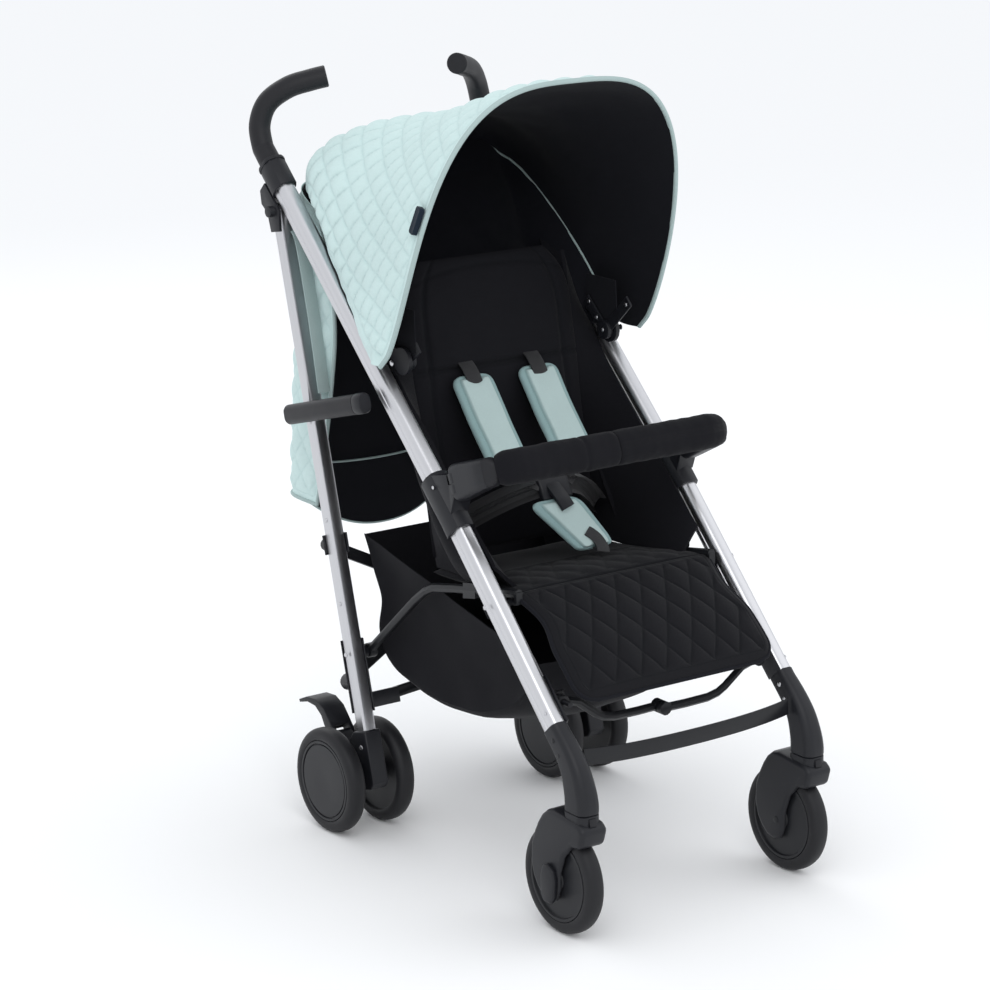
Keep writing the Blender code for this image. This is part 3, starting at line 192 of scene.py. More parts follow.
class Graph:
    """One material's node tree, with a Principled shader that the finishes fill in."""

    def __init__(self, name: str) -> None:
        """Starts a material of this name."""
        self.material = bpy.data.materials.new(name)
        self.material.use_nodes = True
        self.tree = self.material.node_tree
        self.shader = self.tree.nodes["Principled BSDF"]

    def node(self, kind: str, settings: dict, inputs: dict, output: int | str = 0) -> Socket:
        """Adds a node.

        Args:
            kind: the node's type.
            settings: the node's own properties, set first.
            inputs: values, or sockets to link, by input name or number.
            output: which output to hand back.

        Returns:
            The chosen output, wrapped for arithmetic.
        """
        made = self.tree.nodes.new(kind)
        for key, value in settings.items():
            setattr(made, key, value)
        for key, value in inputs.items():
            self.feed(made.inputs[key], value)
        return Socket(self, made.outputs[output])

    def feed(self, target: bpy.types.NodeSocket, value: object) -> None:
        """Links a socket, or sets a plain value."""
        if isinstance(value, Socket):
            self.tree.links.new(value.output, target)
        else:
            target.default_value = value

    def set(self, **inputs: object) -> None:
        """Sets the Principled shader's sockets, named with underscores for spaces."""
        for key, value in inputs.items():
            self.feed(self.shader.inputs[key.replace("_", " ")], value)

    def where(self, scale: Sequence[float] = (1, 1, 1), turn: Sequence[float] = (0, 0, 0)) -> Socket:
        """Object coordinates, turned and then scaled."""
        place_of = self.node("ShaderNodeTexCoord", {}, {}, "Object")
        return self.node(
            "ShaderNodeMapping", {"vector_type": "TEXTURE"},
            {"Vector": place_of, "Rotation": tuple(turn), "Scale": tuple(1 / s for s in scale)},
        )

    def cloth_axes(self) -> tuple[Socket, Socket]:
        """The places across and along the piece's own cloth map, in metres."""
        uv = self.node("ShaderNodeUVMap", {"uv_map": "cloth"}, {})
        parts = self.tree.nodes.new("ShaderNodeSeparateXYZ")
        self.feed(parts.inputs[0], uv)
        return Socket(self, parts.outputs[0]), Socket(self, parts.outputs[1])

    def vertex_value(self, name: str) -> Socket:
        """A value stored on the piece's vertices."""
        return self.node("ShaderNodeAttribute", {"attribute_name": name}, {}, "Fac")

    def grain(self, where: Socket, scale: float, detail: float = 2.0, rough: float = 0.5) -> Socket:
        """Noise between 0 and 1."""
        return self.node(
            "ShaderNodeTexNoise", {}, {"Vector": where, "Scale": scale, "Detail": detail, "Roughness": rough}
        )

    def blend(self, share: object, first: Sequence[float], second: Sequence[float]) -> Socket:
        """A colour between two, by a share from 0 to 1."""
        return self.node(
            "ShaderNodeMix", {"data_type": "RGBA"},
            {0: share, 6: (*first, 1), 7: (*second, 1)}, 2,
        )

    def bump(self, height: Socket, strength: float, distance: float) -> None:
        """Feeds the shader's normal from a height."""
        normal = self.node(
            "ShaderNodeBump", {}, {"Height": height, "Strength": strength, "Distance": distance}
        )
        self.set(Normal=normal)


def scaled(colour: Sequence[float], factor: float) -> tuple[float, ...]:
    """A colour made darker or lighter."""
    return tuple(channel * factor for channel in colour)


@dataclass(frozen=True)
class Metal:
    """Drawn aluminium: fine streaks along its length and a soft sheen."""

    name: str
    colour: tuple[float, float, float] = (0.64, 0.64, 0.66)
    lean: float = 0.0
    roughness: float = 0.27

    def make(self) -> Material:
        """Builds the material."""
        graph = Graph(self.name)
        along = graph.where((260, 260, 3.0), (self.lean, 0, 0))
        streak = graph.grain(along, 1.0, 3.0)
        broad = graph.grain(graph.where(), 14.0)
        graph.set(
            Base_Color=graph.blend(streak, scaled(self.colour, 0.90), self.colour),
            Metallic=1.0,
            Roughness=streak * 0.05 + broad * 0.05 + self.roughness,
        )
        graph.bump(streak, 0.03, 0.0002)
        return graph.material


@dataclass(frozen=True)
class Moulding:
    """Black moulded plastic or rubber with a fine grain, a little scuffed."""

    name: str
    colour: tuple[float, float, float] = (0.0105, 0.0110, 0.0140)
    roughness: float = 0.42
    grain_size: float = 900.0
    relief: float = 0.25

    def make(self) -> Material:
        """Builds the material."""
        graph = Graph(self.name)
        fine = graph.grain(graph.where(), self.grain_size, 2.0)
        scuff = graph.grain(graph.where(), 38.0, 5.0, 0.62)
        graph.set(
            Base_Color=graph.blend(scuff, scaled(self.colour, 0.82), scaled(self.colour, 1.25)),
            Roughness=scuff * 0.16 + (self.roughness - 0.08),
            Specular_IOR_Level=0.30,
        )
        graph.bump(fine, self.relief, 0.0003)
        return graph.material


@dataclass(frozen=True)
class Weave:
    """Plain-woven cloth on the piece's cloth map, with a soft fall of colour and painted shade along its
    stitch lines and sewn channels.
    """

    name: str
    colour: tuple[float, float, float]
    thread: float = 0.0009
    roughness: float = 0.86
    sheen: float = 0.25
    diamond: tuple[float, float] | None = None
    seam_shade: float = 0.5

    def make(self) -> Material:
        """Builds the material."""
        graph = Graph(self.name)
        u, v = graph.cloth_axes()
        turn = math.pi / self.thread
        warp = (u * turn).sine()
        weft = (v * turn).sine()
        threads = warp.magnitude().largest(weft.magnitude()) * 0.6 + (warp * weft) * 0.4
        cloud = graph.grain(graph.where(), 9.0, 4.0, 0.6)
        fuzz = graph.grain(graph.where(), 420.0, 2.0)
        shade = cloud * 0.55 + fuzz * 0.25 + threads * 0.20
        colour = graph.blend(shade, scaled(self.colour, 0.80), scaled(self.colour, 1.14))
        height = threads * 0.35 + fuzz * 0.25
        # Painted shade: this mask darkens the colour along the hem stitching, the quilting lines and the
        # sewn channels, where the cloth dips; seam_shade sets how dark.
        inset = graph.vertex_value("inset") - 1.0
        stitch_shade = self.near(inset, 0.0032)
        if self.diamond:
            wide, tall = self.diamond
            falling, rising = u * (1 / wide) + v * (1 / tall), u * (1 / wide) - v * (1 / tall)
            pitch = wide * tall / math.hypot(wide, tall)
            away = falling.from_whole().smallest(rising.from_whole()) * pitch
            inside = (inset * 400).largest(0.0).smallest(1.0)
            stitch_shade = stitch_shade.largest(self.near(away, 0.0048) * inside)
            pucker = graph.grain(graph.where(), 95.0, 3.0, 0.65)
            height = height + self.near(away, 0.013) * inside * pucker * 1.5
        stitch_shade = stitch_shade.largest(graph.vertex_value("seam"))
        # The multiply paints shade into the stitch lines and channels.
        colour = graph.node(
            "ShaderNodeMix", {"data_type": "RGBA", "blend_type": "MULTIPLY"},
            {0: stitch_shade * self.seam_shade, 6: colour, 7: (0.50, 0.62, 0.64, 1)}, 2,
        )
        height = height - stitch_shade * 1.8
        graph.set(
            Base_Color=colour,
            Roughness=fuzz * 0.10 + (self.roughness - 0.05),
            Sheen_Weight=self.sheen,
            Sheen_Roughness=0.45,
            Specular_IOR_Level=0.14,
        )
        graph.bump(height, 0.45, 0.0008)
        return graph.material

    def near(self, away: Socket, reach: float) -> Socket:
        """One on a line, falling smoothly to nothing at this reach from it."""
        share = (1.0 - away.magnitude() * (1 / reach)).largest(0.0)
        return share * share


@dataclass(frozen=True)
class Webbing:
    """Ribbed nylon webbing, its ribs across the strap."""

    name: str
    colour: tuple[float, float, float] = (0.0065, 0.0065, 0.0080)
    rib: float = 0.0016

    def make(self) -> Material:
        """Builds the material."""
        graph = Graph(self.name)
        u, v = graph.cloth_axes()
        ribs = (v * (2 * math.pi / self.rib)).sine()
        cords = (u * (2 * math.pi / 0.0022)).sine()
        height = ribs * 0.7 + cords * 0.3
        graph.set(
            Base_Color=graph.blend(height * 0.5 + 0.5, scaled(self.colour, 0.7), scaled(self.colour, 1.5)),
            Roughness=0.55,
            Sheen_Weight=0.15,
        )
        graph.bump(height, 0.4, 0.0005)
        return graph.material


class Paint:
    """Every finish of the pushchair, made once."""

    def __init__(self) -> None:
        """Makes the materials."""
        self.upper_metal = Metal("upper tube aluminium", lean=UPPER_LEAN - math.pi / 2).make()
        self.lower_metal = Metal("lower tube aluminium", lean=LOWER_LEAN - math.pi / 2).make()
        self.leg_metal = Metal("rear leg aluminium", (0.60, 0.60, 0.62), -LEG_LEAN).make()
        self.rivet = Metal("rivet steel", (0.62, 0.62, 0.64), roughness=0.30).make()
        self.plastic = Moulding("moulded black plastic").make()
        self.grip = Moulding("soft grip", (0.0100, 0.0100, 0.0125), 0.50, 700.0, 0.35).make()
        self.tyre = Moulding("tyre rubber", (0.0105, 0.0105, 0.0125), 0.52, 500.0, 0.30).make()
        self.disc = Moulding("wheel disc plastic", (0.0125, 0.0130, 0.0155), 0.40, 1000.0, 0.15).make()
        self.steel = Moulding("black powder coat", (0.0105, 0.0110, 0.0130), 0.36, 1300.0, 0.20).make()
        self.mint = Weave("mint cloth", MINT, diamond=HOOD_DIAMOND, sheen=0.10, seam_shade=0.18).make()
        self.mint_pad = Weave("mint pad cloth", scaled(MINT, 0.78), sheen=0.08, seam_shade=0.80).make()
        self.mint_trim = Weave("mint binding", scaled(MINT, 0.66), thread=0.0007, sheen=0.1).make()
        self.black = Weave("black cloth", (0.0062, 0.0062, 0.0084), sheen=0.05).make()
        self.quilted = Weave("quilted black cloth", (0.0080, 0.0080, 0.0100), sheen=0.06,
                             diamond=PAD_DIAMOND).make()
        self.tag = Weave("tag cloth", (0.012, 0.020, 0.032), thread=0.0005, sheen=0.1).make()
        self.lining = Weave("black lining", (0.0072, 0.0076, 0.0108), thread=0.0006, sheen=0.05).make()
        self.mesh_bag = Weave("basket cloth", (0.0062, 0.0062, 0.0084), thread=0.0012, sheen=0.05).make()
        self.web = Webbing("black webbing").make()
        self.gloss_strap = Moulding("coated strap", (0.0095, 0.0100, 0.0120), 0.34, 300.0, 0.15).make()


# Modelling helpers


def select_none() -> None:
    """Deselects every object."""
    if bpy.context.object and bpy.context.object.mode != "OBJECT":
        bpy.ops.object.mode_set(mode="OBJECT")
    bpy.ops.object.select_all(action="DESELECT")


def choose(obj: Piece) -> None:
    """Makes one object the only selected and the active one."""
    select_none()
    obj.select_set(True)
    bpy.context.view_layer.objects.active = obj


def apply_modifier(obj: Piece, kind: str, **settings: object) -> None:
    """Adds a modifier with these settings and applies it."""
    choose(obj)
    modifier = obj.modifiers.new(kind.lower(), kind)
    for key, value in settings.items():
        setattr(modifier, key, value)
    bpy.ops.object.modifier_apply(modifier=modifier.name)


def round_edges(obj: Piece, width: float, segments: int, limit: float) -> None:
    """Rounds the edges whose angle is over the limit, in degrees."""
    apply_modifier(
        obj, "BEVEL", width=width, segments=segments, limit_method="ANGLE", angle_limit=math.radians(limit)
    )


def soften(obj: Piece, angle: float = 32) -> None:
    """Smooth shading that keeps edges over the angle sharp."""
    choose(obj)
    bpy.ops.object.shade_smooth_by_angle(angle=math.radians(angle))


@contextmanager
def editing(obj: Piece) -> Iterator[None]:
    """Edit mode on one object, with all of it selected."""
    choose(obj)
    bpy.ops.object.mode_set(mode="EDIT")
    bpy.ops.mesh.select_all(action="SELECT")
    yield
    bpy.ops.object.mode_set(mode="OBJECT")


def tidy_mesh(obj: Piece, distance: float = 1e-6) -> None:
    """Merges doubles and turns every face outwards."""
    with editing(obj):
        bpy.ops.mesh.remove_doubles(threshold=distance)
        bpy.ops.mesh.normals_make_consistent(inside=False)


def linked(name: str, data: bpy.types.ID) -> Piece:
    """A new object of this name on this data, in the scene."""
    obj = bpy.data.objects.new(name, data)
    bpy.context.collection.objects.link(obj)
    return obj


def mesh_piece(name: str, points: list[Vector], faces: list[tuple], material: Material,
               uvs: list[Point] | None = None) -> Piece:
    """Makes an object from points and faces in the model's frame.

    Args:
        name: the piece's name.
        points: its vertices.
        faces: its faces, as vertex numbers.
        material: its finish.
        uvs: a cloth-map place for each vertex, in metres.

    Returns:
        The new object.
    """
    mesh = bpy.data.meshes.new(name)
    mesh.from_pydata([tuple(point) for point in points], [], faces)
    mesh.materials.append(material)
    if uvs:
        layer = mesh.uv_layers.new(name="cloth")
        for loop in mesh.loops:
            layer.data[loop.index].uv = uvs[loop.vertex_index]
    return linked(name, mesh)


def measured(points: Sequence[Vector], weigh: Callable[[Vector], Vector] = Vector) -> list[float]:
    """The length along a path to each of its points, after weighing each step."""
    return list(accumulate((weigh(b - a).length for a, b in zip(points, points[1:])), initial=0.0))


def chord(path: Sequence[Vector], i: int) -> Vector:
    """The way past a point of a path, from the point before it to the one after."""
    return path[min(i + 1, len(path) - 1)] - path[max(i - 1, 0)]


def loft(name: str, rings: Rings, material: Material, angle: float = 32) -> Piece:
    """Joins rings of points into one skin with closed ends and a cloth map round and along it.

    Args:
        name: the piece's name.
        rings: the rings, each with as many points.
        material: its finish.
        angle: the angle, in degrees, over which edges stay sharp.

    Returns:
        The new object.
    """
    count = len(rings[0])
    lengths = measured([sum(one, Vector()) / count for one in rings])
    points = [point for one in rings for point in one]
    uvs = [(girth, length) for one, length in zip(rings, lengths) for girth in measured(one)]
    faces = [
        (start + i, start + (i + 1) % count, start + count + (i + 1) % count, start + count + i)
        for start in range(0, (len(rings) - 1) * count, count) for i in range(count)
    ]
    faces.append(tuple(reversed(range(count))))
    faces.append(tuple(range((len(rings) - 1) * count, len(rings) * count)))
    obj = mesh_piece(name, points, faces, material, uvs)
    tidy_mesh(obj)
    soften(obj, angle)
    return obj


def rounded_section(width: float, depth: float, corner: float, steps: int = 6) -> list[Point]:
    """A rectangle with round corners."""
    points = []
    for quarter in range(4):
        centre_x = (width / 2 - corner) * (1 if quarter in (0, 3) else -1)
        centre_y = (depth / 2 - corner) * (1 if quarter in (0, 1) else -1)
        for step in range(steps + 1):
            angle = math.pi / 2 * (quarter + step / steps)
            points.append((centre_x + corner * math.cos(angle), centre_y + corner * math.sin(angle)))
    return points


def round_section(radius: float, steps: int = 24) -> list[Point]:
    """A circle."""
    return [
        (radius * math.cos(2 * math.pi * i / steps), radius * math.sin(2 * math.pi * i / steps))
        for i in range(steps)
    ]


def tube_section() -> list[Point]:
    """The side tubes' extrusion: round corners and a shallow groove in each flat."""
    points = rounded_section(TUBE_WIDTH, TUBE_DEPTH, TUBE_CORNER)
    groove = [(0.0, 0.0022), (0.0011, 0.0012), (0.0011, -0.0012), (0.0, -0.0022)]
    left = [(-TUBE_WIDTH / 2 + deep, along) for deep, along in groove]
    right = [(TUBE_WIDTH / 2 - deep, along) for deep, along in reversed(groove)]
    half = len(points) // 2
    return points[:half] + left + points[half:] + right


def ring(section: Sequence[Point], centre: Vector, across: Vector, deep: Vector,
         scale: float = 1.0) -> list[Vector]:
    """A section laid at a place, on two directions."""
    return [centre + across * (a * scale) + deep * (b * scale) for a, b in section]


def spline(points: Sequence[Sequence[float]], steps: int = 8) -> list[Vector]:
    """A smooth curve through the points."""
    marks = [Vector(point) for point in points]
    path = []
    for i in range(len(marks) - 1):
        before, start = marks[max(i - 1, 0)], marks[i]
        end, after = marks[i + 1], marks[min(i + 2, len(marks) - 1)]
        for step in range(steps):
            t = step / steps
            path.append(0.5 * (
                2 * start + (end - before) * t
                + (2 * before - 5 * start + 4 * end - after) * t * t
                + (3 * start - before - 3 * end + after) * t ** 3
            ))
    path.append(marks[-1])
    return path


def part_way(marks: Sequence[Vector], share: float) -> tuple[Vector, Vector]:
    """The point at a share of the way through the marks, and the path's direction there."""
    spot = share * (len(marks) - 1)
    i = min(int(spot), len(marks) - 2)
    return marks[i].lerp(marks[i + 1], spot - i), (marks[i + 1] - marks[i]).normalized()


def evenly(points: Sequence[Vector], count: int,
           weigh: Callable[[Vector], Vector] = Vector) -> list[Vector]:
    """Points at equal steps along a path.

    Args:
        points: the path.
        count: how many points to hand back, the two ends among them.
        weigh: what each step of the path counts for.

    Returns:
        The points.
    """
    lengths = measured(points, weigh)
    even, at = [], 0
    for i in range(count):
        target = lengths[-1] * i / (count - 1)
        while at < len(points) - 2 and lengths[at + 1] < target:
            at += 1
        gap = lengths[at + 1] - lengths[at]
        even.append(points[at].lerp(points[at + 1], (target - lengths[at]) / gap if gap else 0.0))
    return even


def sweep(name: str, path: Sequence[Vector], section: Sequence[Point], material: Material,
          across: Vector = ACROSS, scales: Sequence[float] | None = None,
          angle: float = 32) -> Piece:
    """Carries a section along a path without twisting it."""
    scales = scales or [1.0] * len(path)
    side = across
    rings = []
    for i, point in enumerate(path):
        tangent = chord(path, i).normalized()
        side = (side - tangent * side.dot(tangent)).normalized()
        rings.append(ring(section, point, side, tangent.cross(side), scales[i]))
    return loft(name, rings, material, angle=angle)


def spun(name: str, profile: Sequence[Point], centre: Vector, direction: float,
         material: Material, steps: int = 72) -> Piece:
    """Spins a profile of (radius, along) points about an axle through centre."""
    line = [centre + Vector((direction * along, 0, radius)) for radius, along in profile]
    mesh = bpy.data.meshes.new(name)
    mesh.from_pydata([tuple(p) for p in line], [(i, i + 1) for i in range(len(line) - 1)], [])
    mesh.materials.append(material)
    obj = linked(name, mesh)
    with editing(obj):
        bpy.ops.mesh.spin(steps=steps, angle=2 * math.pi, center=centre, axis=(1, 0, 0))
        bpy.ops.mesh.select_all(action="SELECT")
        bpy.ops.mesh.remove_doubles(threshold=MERGE_DISTANCE)
        bpy.ops.mesh.normals_make_consistent(inside=False)
    soften(obj)
    return obj


def rod(name: str, start: Vector, end: Vector, radius: float, material: Material,
        bevel: float = 0.0006, steps: int = 24) -> Piece:
    """A round bar between two points, its rims rounded."""
    select_none()
    direction = end - start
    bpy.ops.mesh.primitive_cylinder_add(
        vertices=steps, radius=radius, depth=direction.length, location=(start + end) / 2,
        rotation=direction.to_track_quat("Z", "Y").to_euler(),
    )
    obj = bpy.context.object
    obj.name = name
    bpy.ops.object.transform_apply(location=True, rotation=True, scale=True)
    obj.data.materials.append(material)
    if bevel:
        round_edges(obj, bevel, 2, 50)
    soften(obj)
    return obj


def stud(name: str, centre: Vector, axis: Vector, radius: float, height: float,
         material: Material) -> Piece:
    """A domed rivet head lying on a surface."""
    select_none()
    bpy.ops.mesh.primitive_uv_sphere_add(segments=16, ring_count=8, radius=radius, location=(0, 0, 0))
    obj = bpy.context.object
    obj.name = name
    turn = axis.to_track_quat("Z", "Y").to_matrix().to_4x4()
    obj.data.transform(Matrix.Translation(centre) @ turn @ Matrix.Diagonal((1, 1, height / radius, 1)))
    obj.data.materials.append(material)
    soften(obj, 60)
    return obj


def prism(name: str, outline: Sequence[Vector], half: float, material: Material) -> Piece:
    """A plate of this outline, standing half its thickness to each side across."""
    count = len(outline)
    points = [point + ACROSS * way * half for way in (-1, 1) for point in outline]
    faces = [tuple(range(count)), tuple(range(2 * count - 1, count - 1, -1))]
    faces += [(i, i + count, (i + 1) % count + count, (i + 1) % count) for i in range(count)]
    obj = mesh_piece(name, points, faces, material)
    tidy_mesh(obj)
    return obj


def keep_side(obj: Piece, through: Vector, outward: Vector) -> None:
    """Cuts a closed mesh by a plane and drops what lies on the plane's outward side."""
    with editing(obj):
        bpy.ops.mesh.bisect(plane_co=through, plane_no=outward, use_fill=True, clear_outer=True)


def joined(name: str, parts: Iterable[Piece]) -> Piece:
    """Joins pieces into one object of this name."""
    parts = list(parts)
    choose(parts[0])
    for part in parts[1:]:
        part.select_set(True)
    if len(parts) > 1:
        bpy.ops.object.join()
    parts[0].name = name
    return parts[0]


NODES: dict[str, Piece] = {}


def refined(node: str, material: Material, bevel: float = 0.0008,
            segments: int = 2, name: str | None = None) -> Piece:
    """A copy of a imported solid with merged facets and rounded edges, standing for it.

    Args:
        node: the solid's node.
        material: its finish.
        bevel: the width of its rounded edges, or nothing to leave them.
        segments: how finely they are rounded.
        name: the piece's name, if it isn't the node's with _moulding after it.

    Returns:
        The new object.
    """
    mesh = NODES[node].data.copy()
    mesh.materials.clear()
    mesh.materials.append(material)
    obj = linked(name or node + "_moulding", mesh)
    with editing(obj):
        bpy.ops.mesh.remove_doubles(threshold=MERGE_DISTANCE)
        bpy.ops.mesh.dissolve_limited(angle_limit=math.radians(1.0))
    if bevel:
        round_edges(obj, bevel, segments, 38)
    soften(obj, 38)
    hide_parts(node)
    return obj


def fit(obj: Piece, body: str, slot: str, *nodes: str) -> Piece:
    """Sets a piece on its body and hides the nodes that it stands for."""
    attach(obj, body)
    if nodes:
        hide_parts(*nodes)
    LOG.info("%s rides on %s", obj.name, body)
    return obj


def fit_folding(obj: Piece, body: str, slot: str, level: float, *nodes: str,
                keep: float = FOLD_KEEP) -> Piece:
    """Fits a piece on its body and gives it a mesh of its own.

    Args:
        obj: the piece.
        body: the body that it rides.
        slot: not used.
        level: not used.
        nodes: the nodes that it stands for.
        keep: not used.

    Returns:
        The same piece.
    """
    fit(obj, body, slot, *nodes)
    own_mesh(obj)
    return obj


def fit_sheet(obj: Piece, body: str, slot: str, level: float,
              nodes: Sequence[str] = (), keep: float = FOLD_KEEP) -> None:
    """Fits a thin closed sheet on its body; half of its faces' area is its flat area."""
    fit_folding(obj, body, slot, level, *nodes, keep=keep)


def studs(name: str, spots: Iterable[tuple[Vector, float, float]], axis: Vector,
          material: Material) -> Piece:
    """Rivet heads joined into one piece, each given by its centre, radius and height."""
    return joined(name, [
        stud(f"{name}_{n}", centre, axis, radius, height, material)
        for n, (centre, radius, height) in enumerate(spots)
    ])


def fit_opened(node: str, material: Material, body: str,
               cuts: Iterable[tuple[Vector, Vector]]) -> None:
    """Fits the walls that are left of a packed sleeve, one for each cut by a point and a direction."""
    walls = []
    for n, (through, outward) in enumerate(cuts):
        wall = refined(node, material, 0.0006, name=f"{node}_wall_{n}")
        keep_side(wall, through, outward)
        walls.append(wall)
    fit(joined(f"{node}_moulding", walls), body, "plastic", node)


# Cloth helpers


def quilt(u: float, v: float, wide: float, tall: float) -> float:
    """Height of diamond quilting, from 0 on a stitch line to 1 in the middle of a diamond."""
    a, b = u / wide + v / tall, u / wide - v / tall
    return math.sqrt(abs(math.sin(math.pi * a) * math.sin(math.pi * b)))


def mark(obj: Piece, name: str, values: Sequence[float]) -> None:
    """Stores a value on each vertex for the cloth finishes."""
    attribute = obj.data.attributes.new(name, "FLOAT", "POINT")
    attribute.data.foreach_set("value", list(values))


def ripple(point: Vector, size: float, seed: float = 0.0) -> float:
    """Soft wrinkles as a height between -1 and 1."""
    return noise.noise(point / size + Vector((seed, seed * 1.7, seed * 0.3)))


@dataclass
class Quilting:
    """Diamonds sewn into a cloth: how far they puff, and the plain bands along its edges."""

    diamond: tuple[float, float]
    puff: float
    hem: float = 0.012
    sides: float = 0.012
    tail: float = 0.012

    def inset(self, front: float, back: float, left: float, right: float) -> float:
        """How far a place is inside the quilted field, from its distances to the four edges."""
        return min(front - self.hem, back - self.tail, left - self.sides, right - self.sides)


def draped_places(rows: Rings, axis: Vector) -> tuple[list[list[float]], list[list[float]]]:
    """Measures a grid as cloth hangs over it: round the axis from the middle, and along the axis."""
    middle = len(rows[0]) // 2
    spine = [row[middle] for row in rows]
    spots, lengths = [point.dot(axis) for point in spine], measured(spine)
    across, along = [], []
    for row in rows:
        places = measured(row, lambda step: step - axis * step.dot(axis))
        across.append([spot - places[middle] for spot in places])
        line = []
        for point in row:
            spot = point.dot(axis)
            i = max(1, min(len(spots) - 1, sum(1 for known in spots if known < spot)))
            share = (spot - spots[i - 1]) / max(1e-6, spots[i] - spots[i - 1])
            line.append(lengths[i - 1] + (lengths[i] - lengths[i - 1]) * share)
        along.append(line)
    return across, along


def cloth_places(rows: Rings) -> tuple[list[list[float]], list[list[float]]]:
    """Measures a grid: along each row from its middle, and square to the rows from the first."""
    count = len(rows[0])
    across, along = [], []
    for r, row in enumerate(rows):
        places = measured(row)
        across.append([spot - places[count // 2] for spot in places])
        if r == 0:
            along.append([0.0] * count)
            continue
        line = []
        for i, point in enumerate(row):
            step = point - rows[r - 1][i]
            tangent = chord(row, i).normalized()
            line.append(along[-1][i] + (step - tangent * step.dot(tangent)).length)
        along.append(line)
    return across, along


def outward_at(rows: Rings, r: int, i: int) -> Vector:
    """The direction square to a grid of points at one of them."""
    along = rows[min(r + 1, len(rows) - 1)][i] - rows[max(r - 1, 0)][i]
    return chord(rows[r], i).cross(along).normalized()


def cloth_grid(name: str, rows: Rings, material: Material,
               thickness: float, quilting: Quilting | None = None, outward: float = 1.0,
               wrinkle: float = 0.0, slack: Callable[[float, float], float] | None = None,
               drape: Vector | None = None) -> Piece:
    """A sewn sheet over a grid of points.

    Args:
        name: the piece's name.
        rows: the points, row by row.
        material: the cloth.
        thickness: the cloth's own thickness, given inwards.
        quilting: diamonds to puff outwards.
        outward: 1 or -1, to choose which side is out.
        wrinkle: the height of soft wrinkles.
        slack: a further height of folds, from the distances to the nearer side and to the front.
        drape: the direction that the pattern runs along, where the cloth is cut in one piece.

    Returns:
        The closed sheet.
    """
    count_v, count_u = len(rows), len(rows[0])
    across, along = cloth_places(rows)
    pattern_u, pattern_v = draped_places(rows, drape) if drape else (across, along)
    points, uvs, insets = [], [], []
    for r in range(count_v):
        for i in range(count_u):
            point = rows[r][i]
            u, v = across[r][i], along[r][i]
            left, right = u - across[r][0], across[r][-1] - u
            rise = wrinkle * ripple(point, 0.055, 3.0)
            inset = -1.0
            if quilting:
                inset = quilting.inset(v, along[-1][i] - v, left, right)
                share = max(0.0, min(1.0, inset / QUILT_FADE))
                rise += quilting.puff * quilt(pattern_u[r][i], pattern_v[r][i], *quilting.diamond) * share
                rise -= STITCH_DEPTH * math.exp(-(inset / STITCH_REACH) ** 2)
            if slack:
                rise += slack(min(left, right), v) * ripple(point, 0.022, 11.0)
            points.append(point + outward_at(rows, r, i) * (outward * rise))
            uvs.append((pattern_u[r][i], pattern_v[r][i]))
            insets.append(inset + 1)
    faces = [
        (r * count_u + i, r * count_u + i + 1, (r + 1) * count_u + i + 1, (r + 1) * count_u + i)
        for r in range(count_v - 1) for i in range(count_u - 1)
    ]
    if outward < 0:
        faces = [tuple(reversed(face)) for face in faces]
    obj = mesh_piece(name, points, faces, material, uvs)
    mark(obj, "inset", insets)
    apply_modifier(obj, "SOLIDIFY", thickness=thickness, offset=-1.0)
    soften(obj, 50)
    return obj


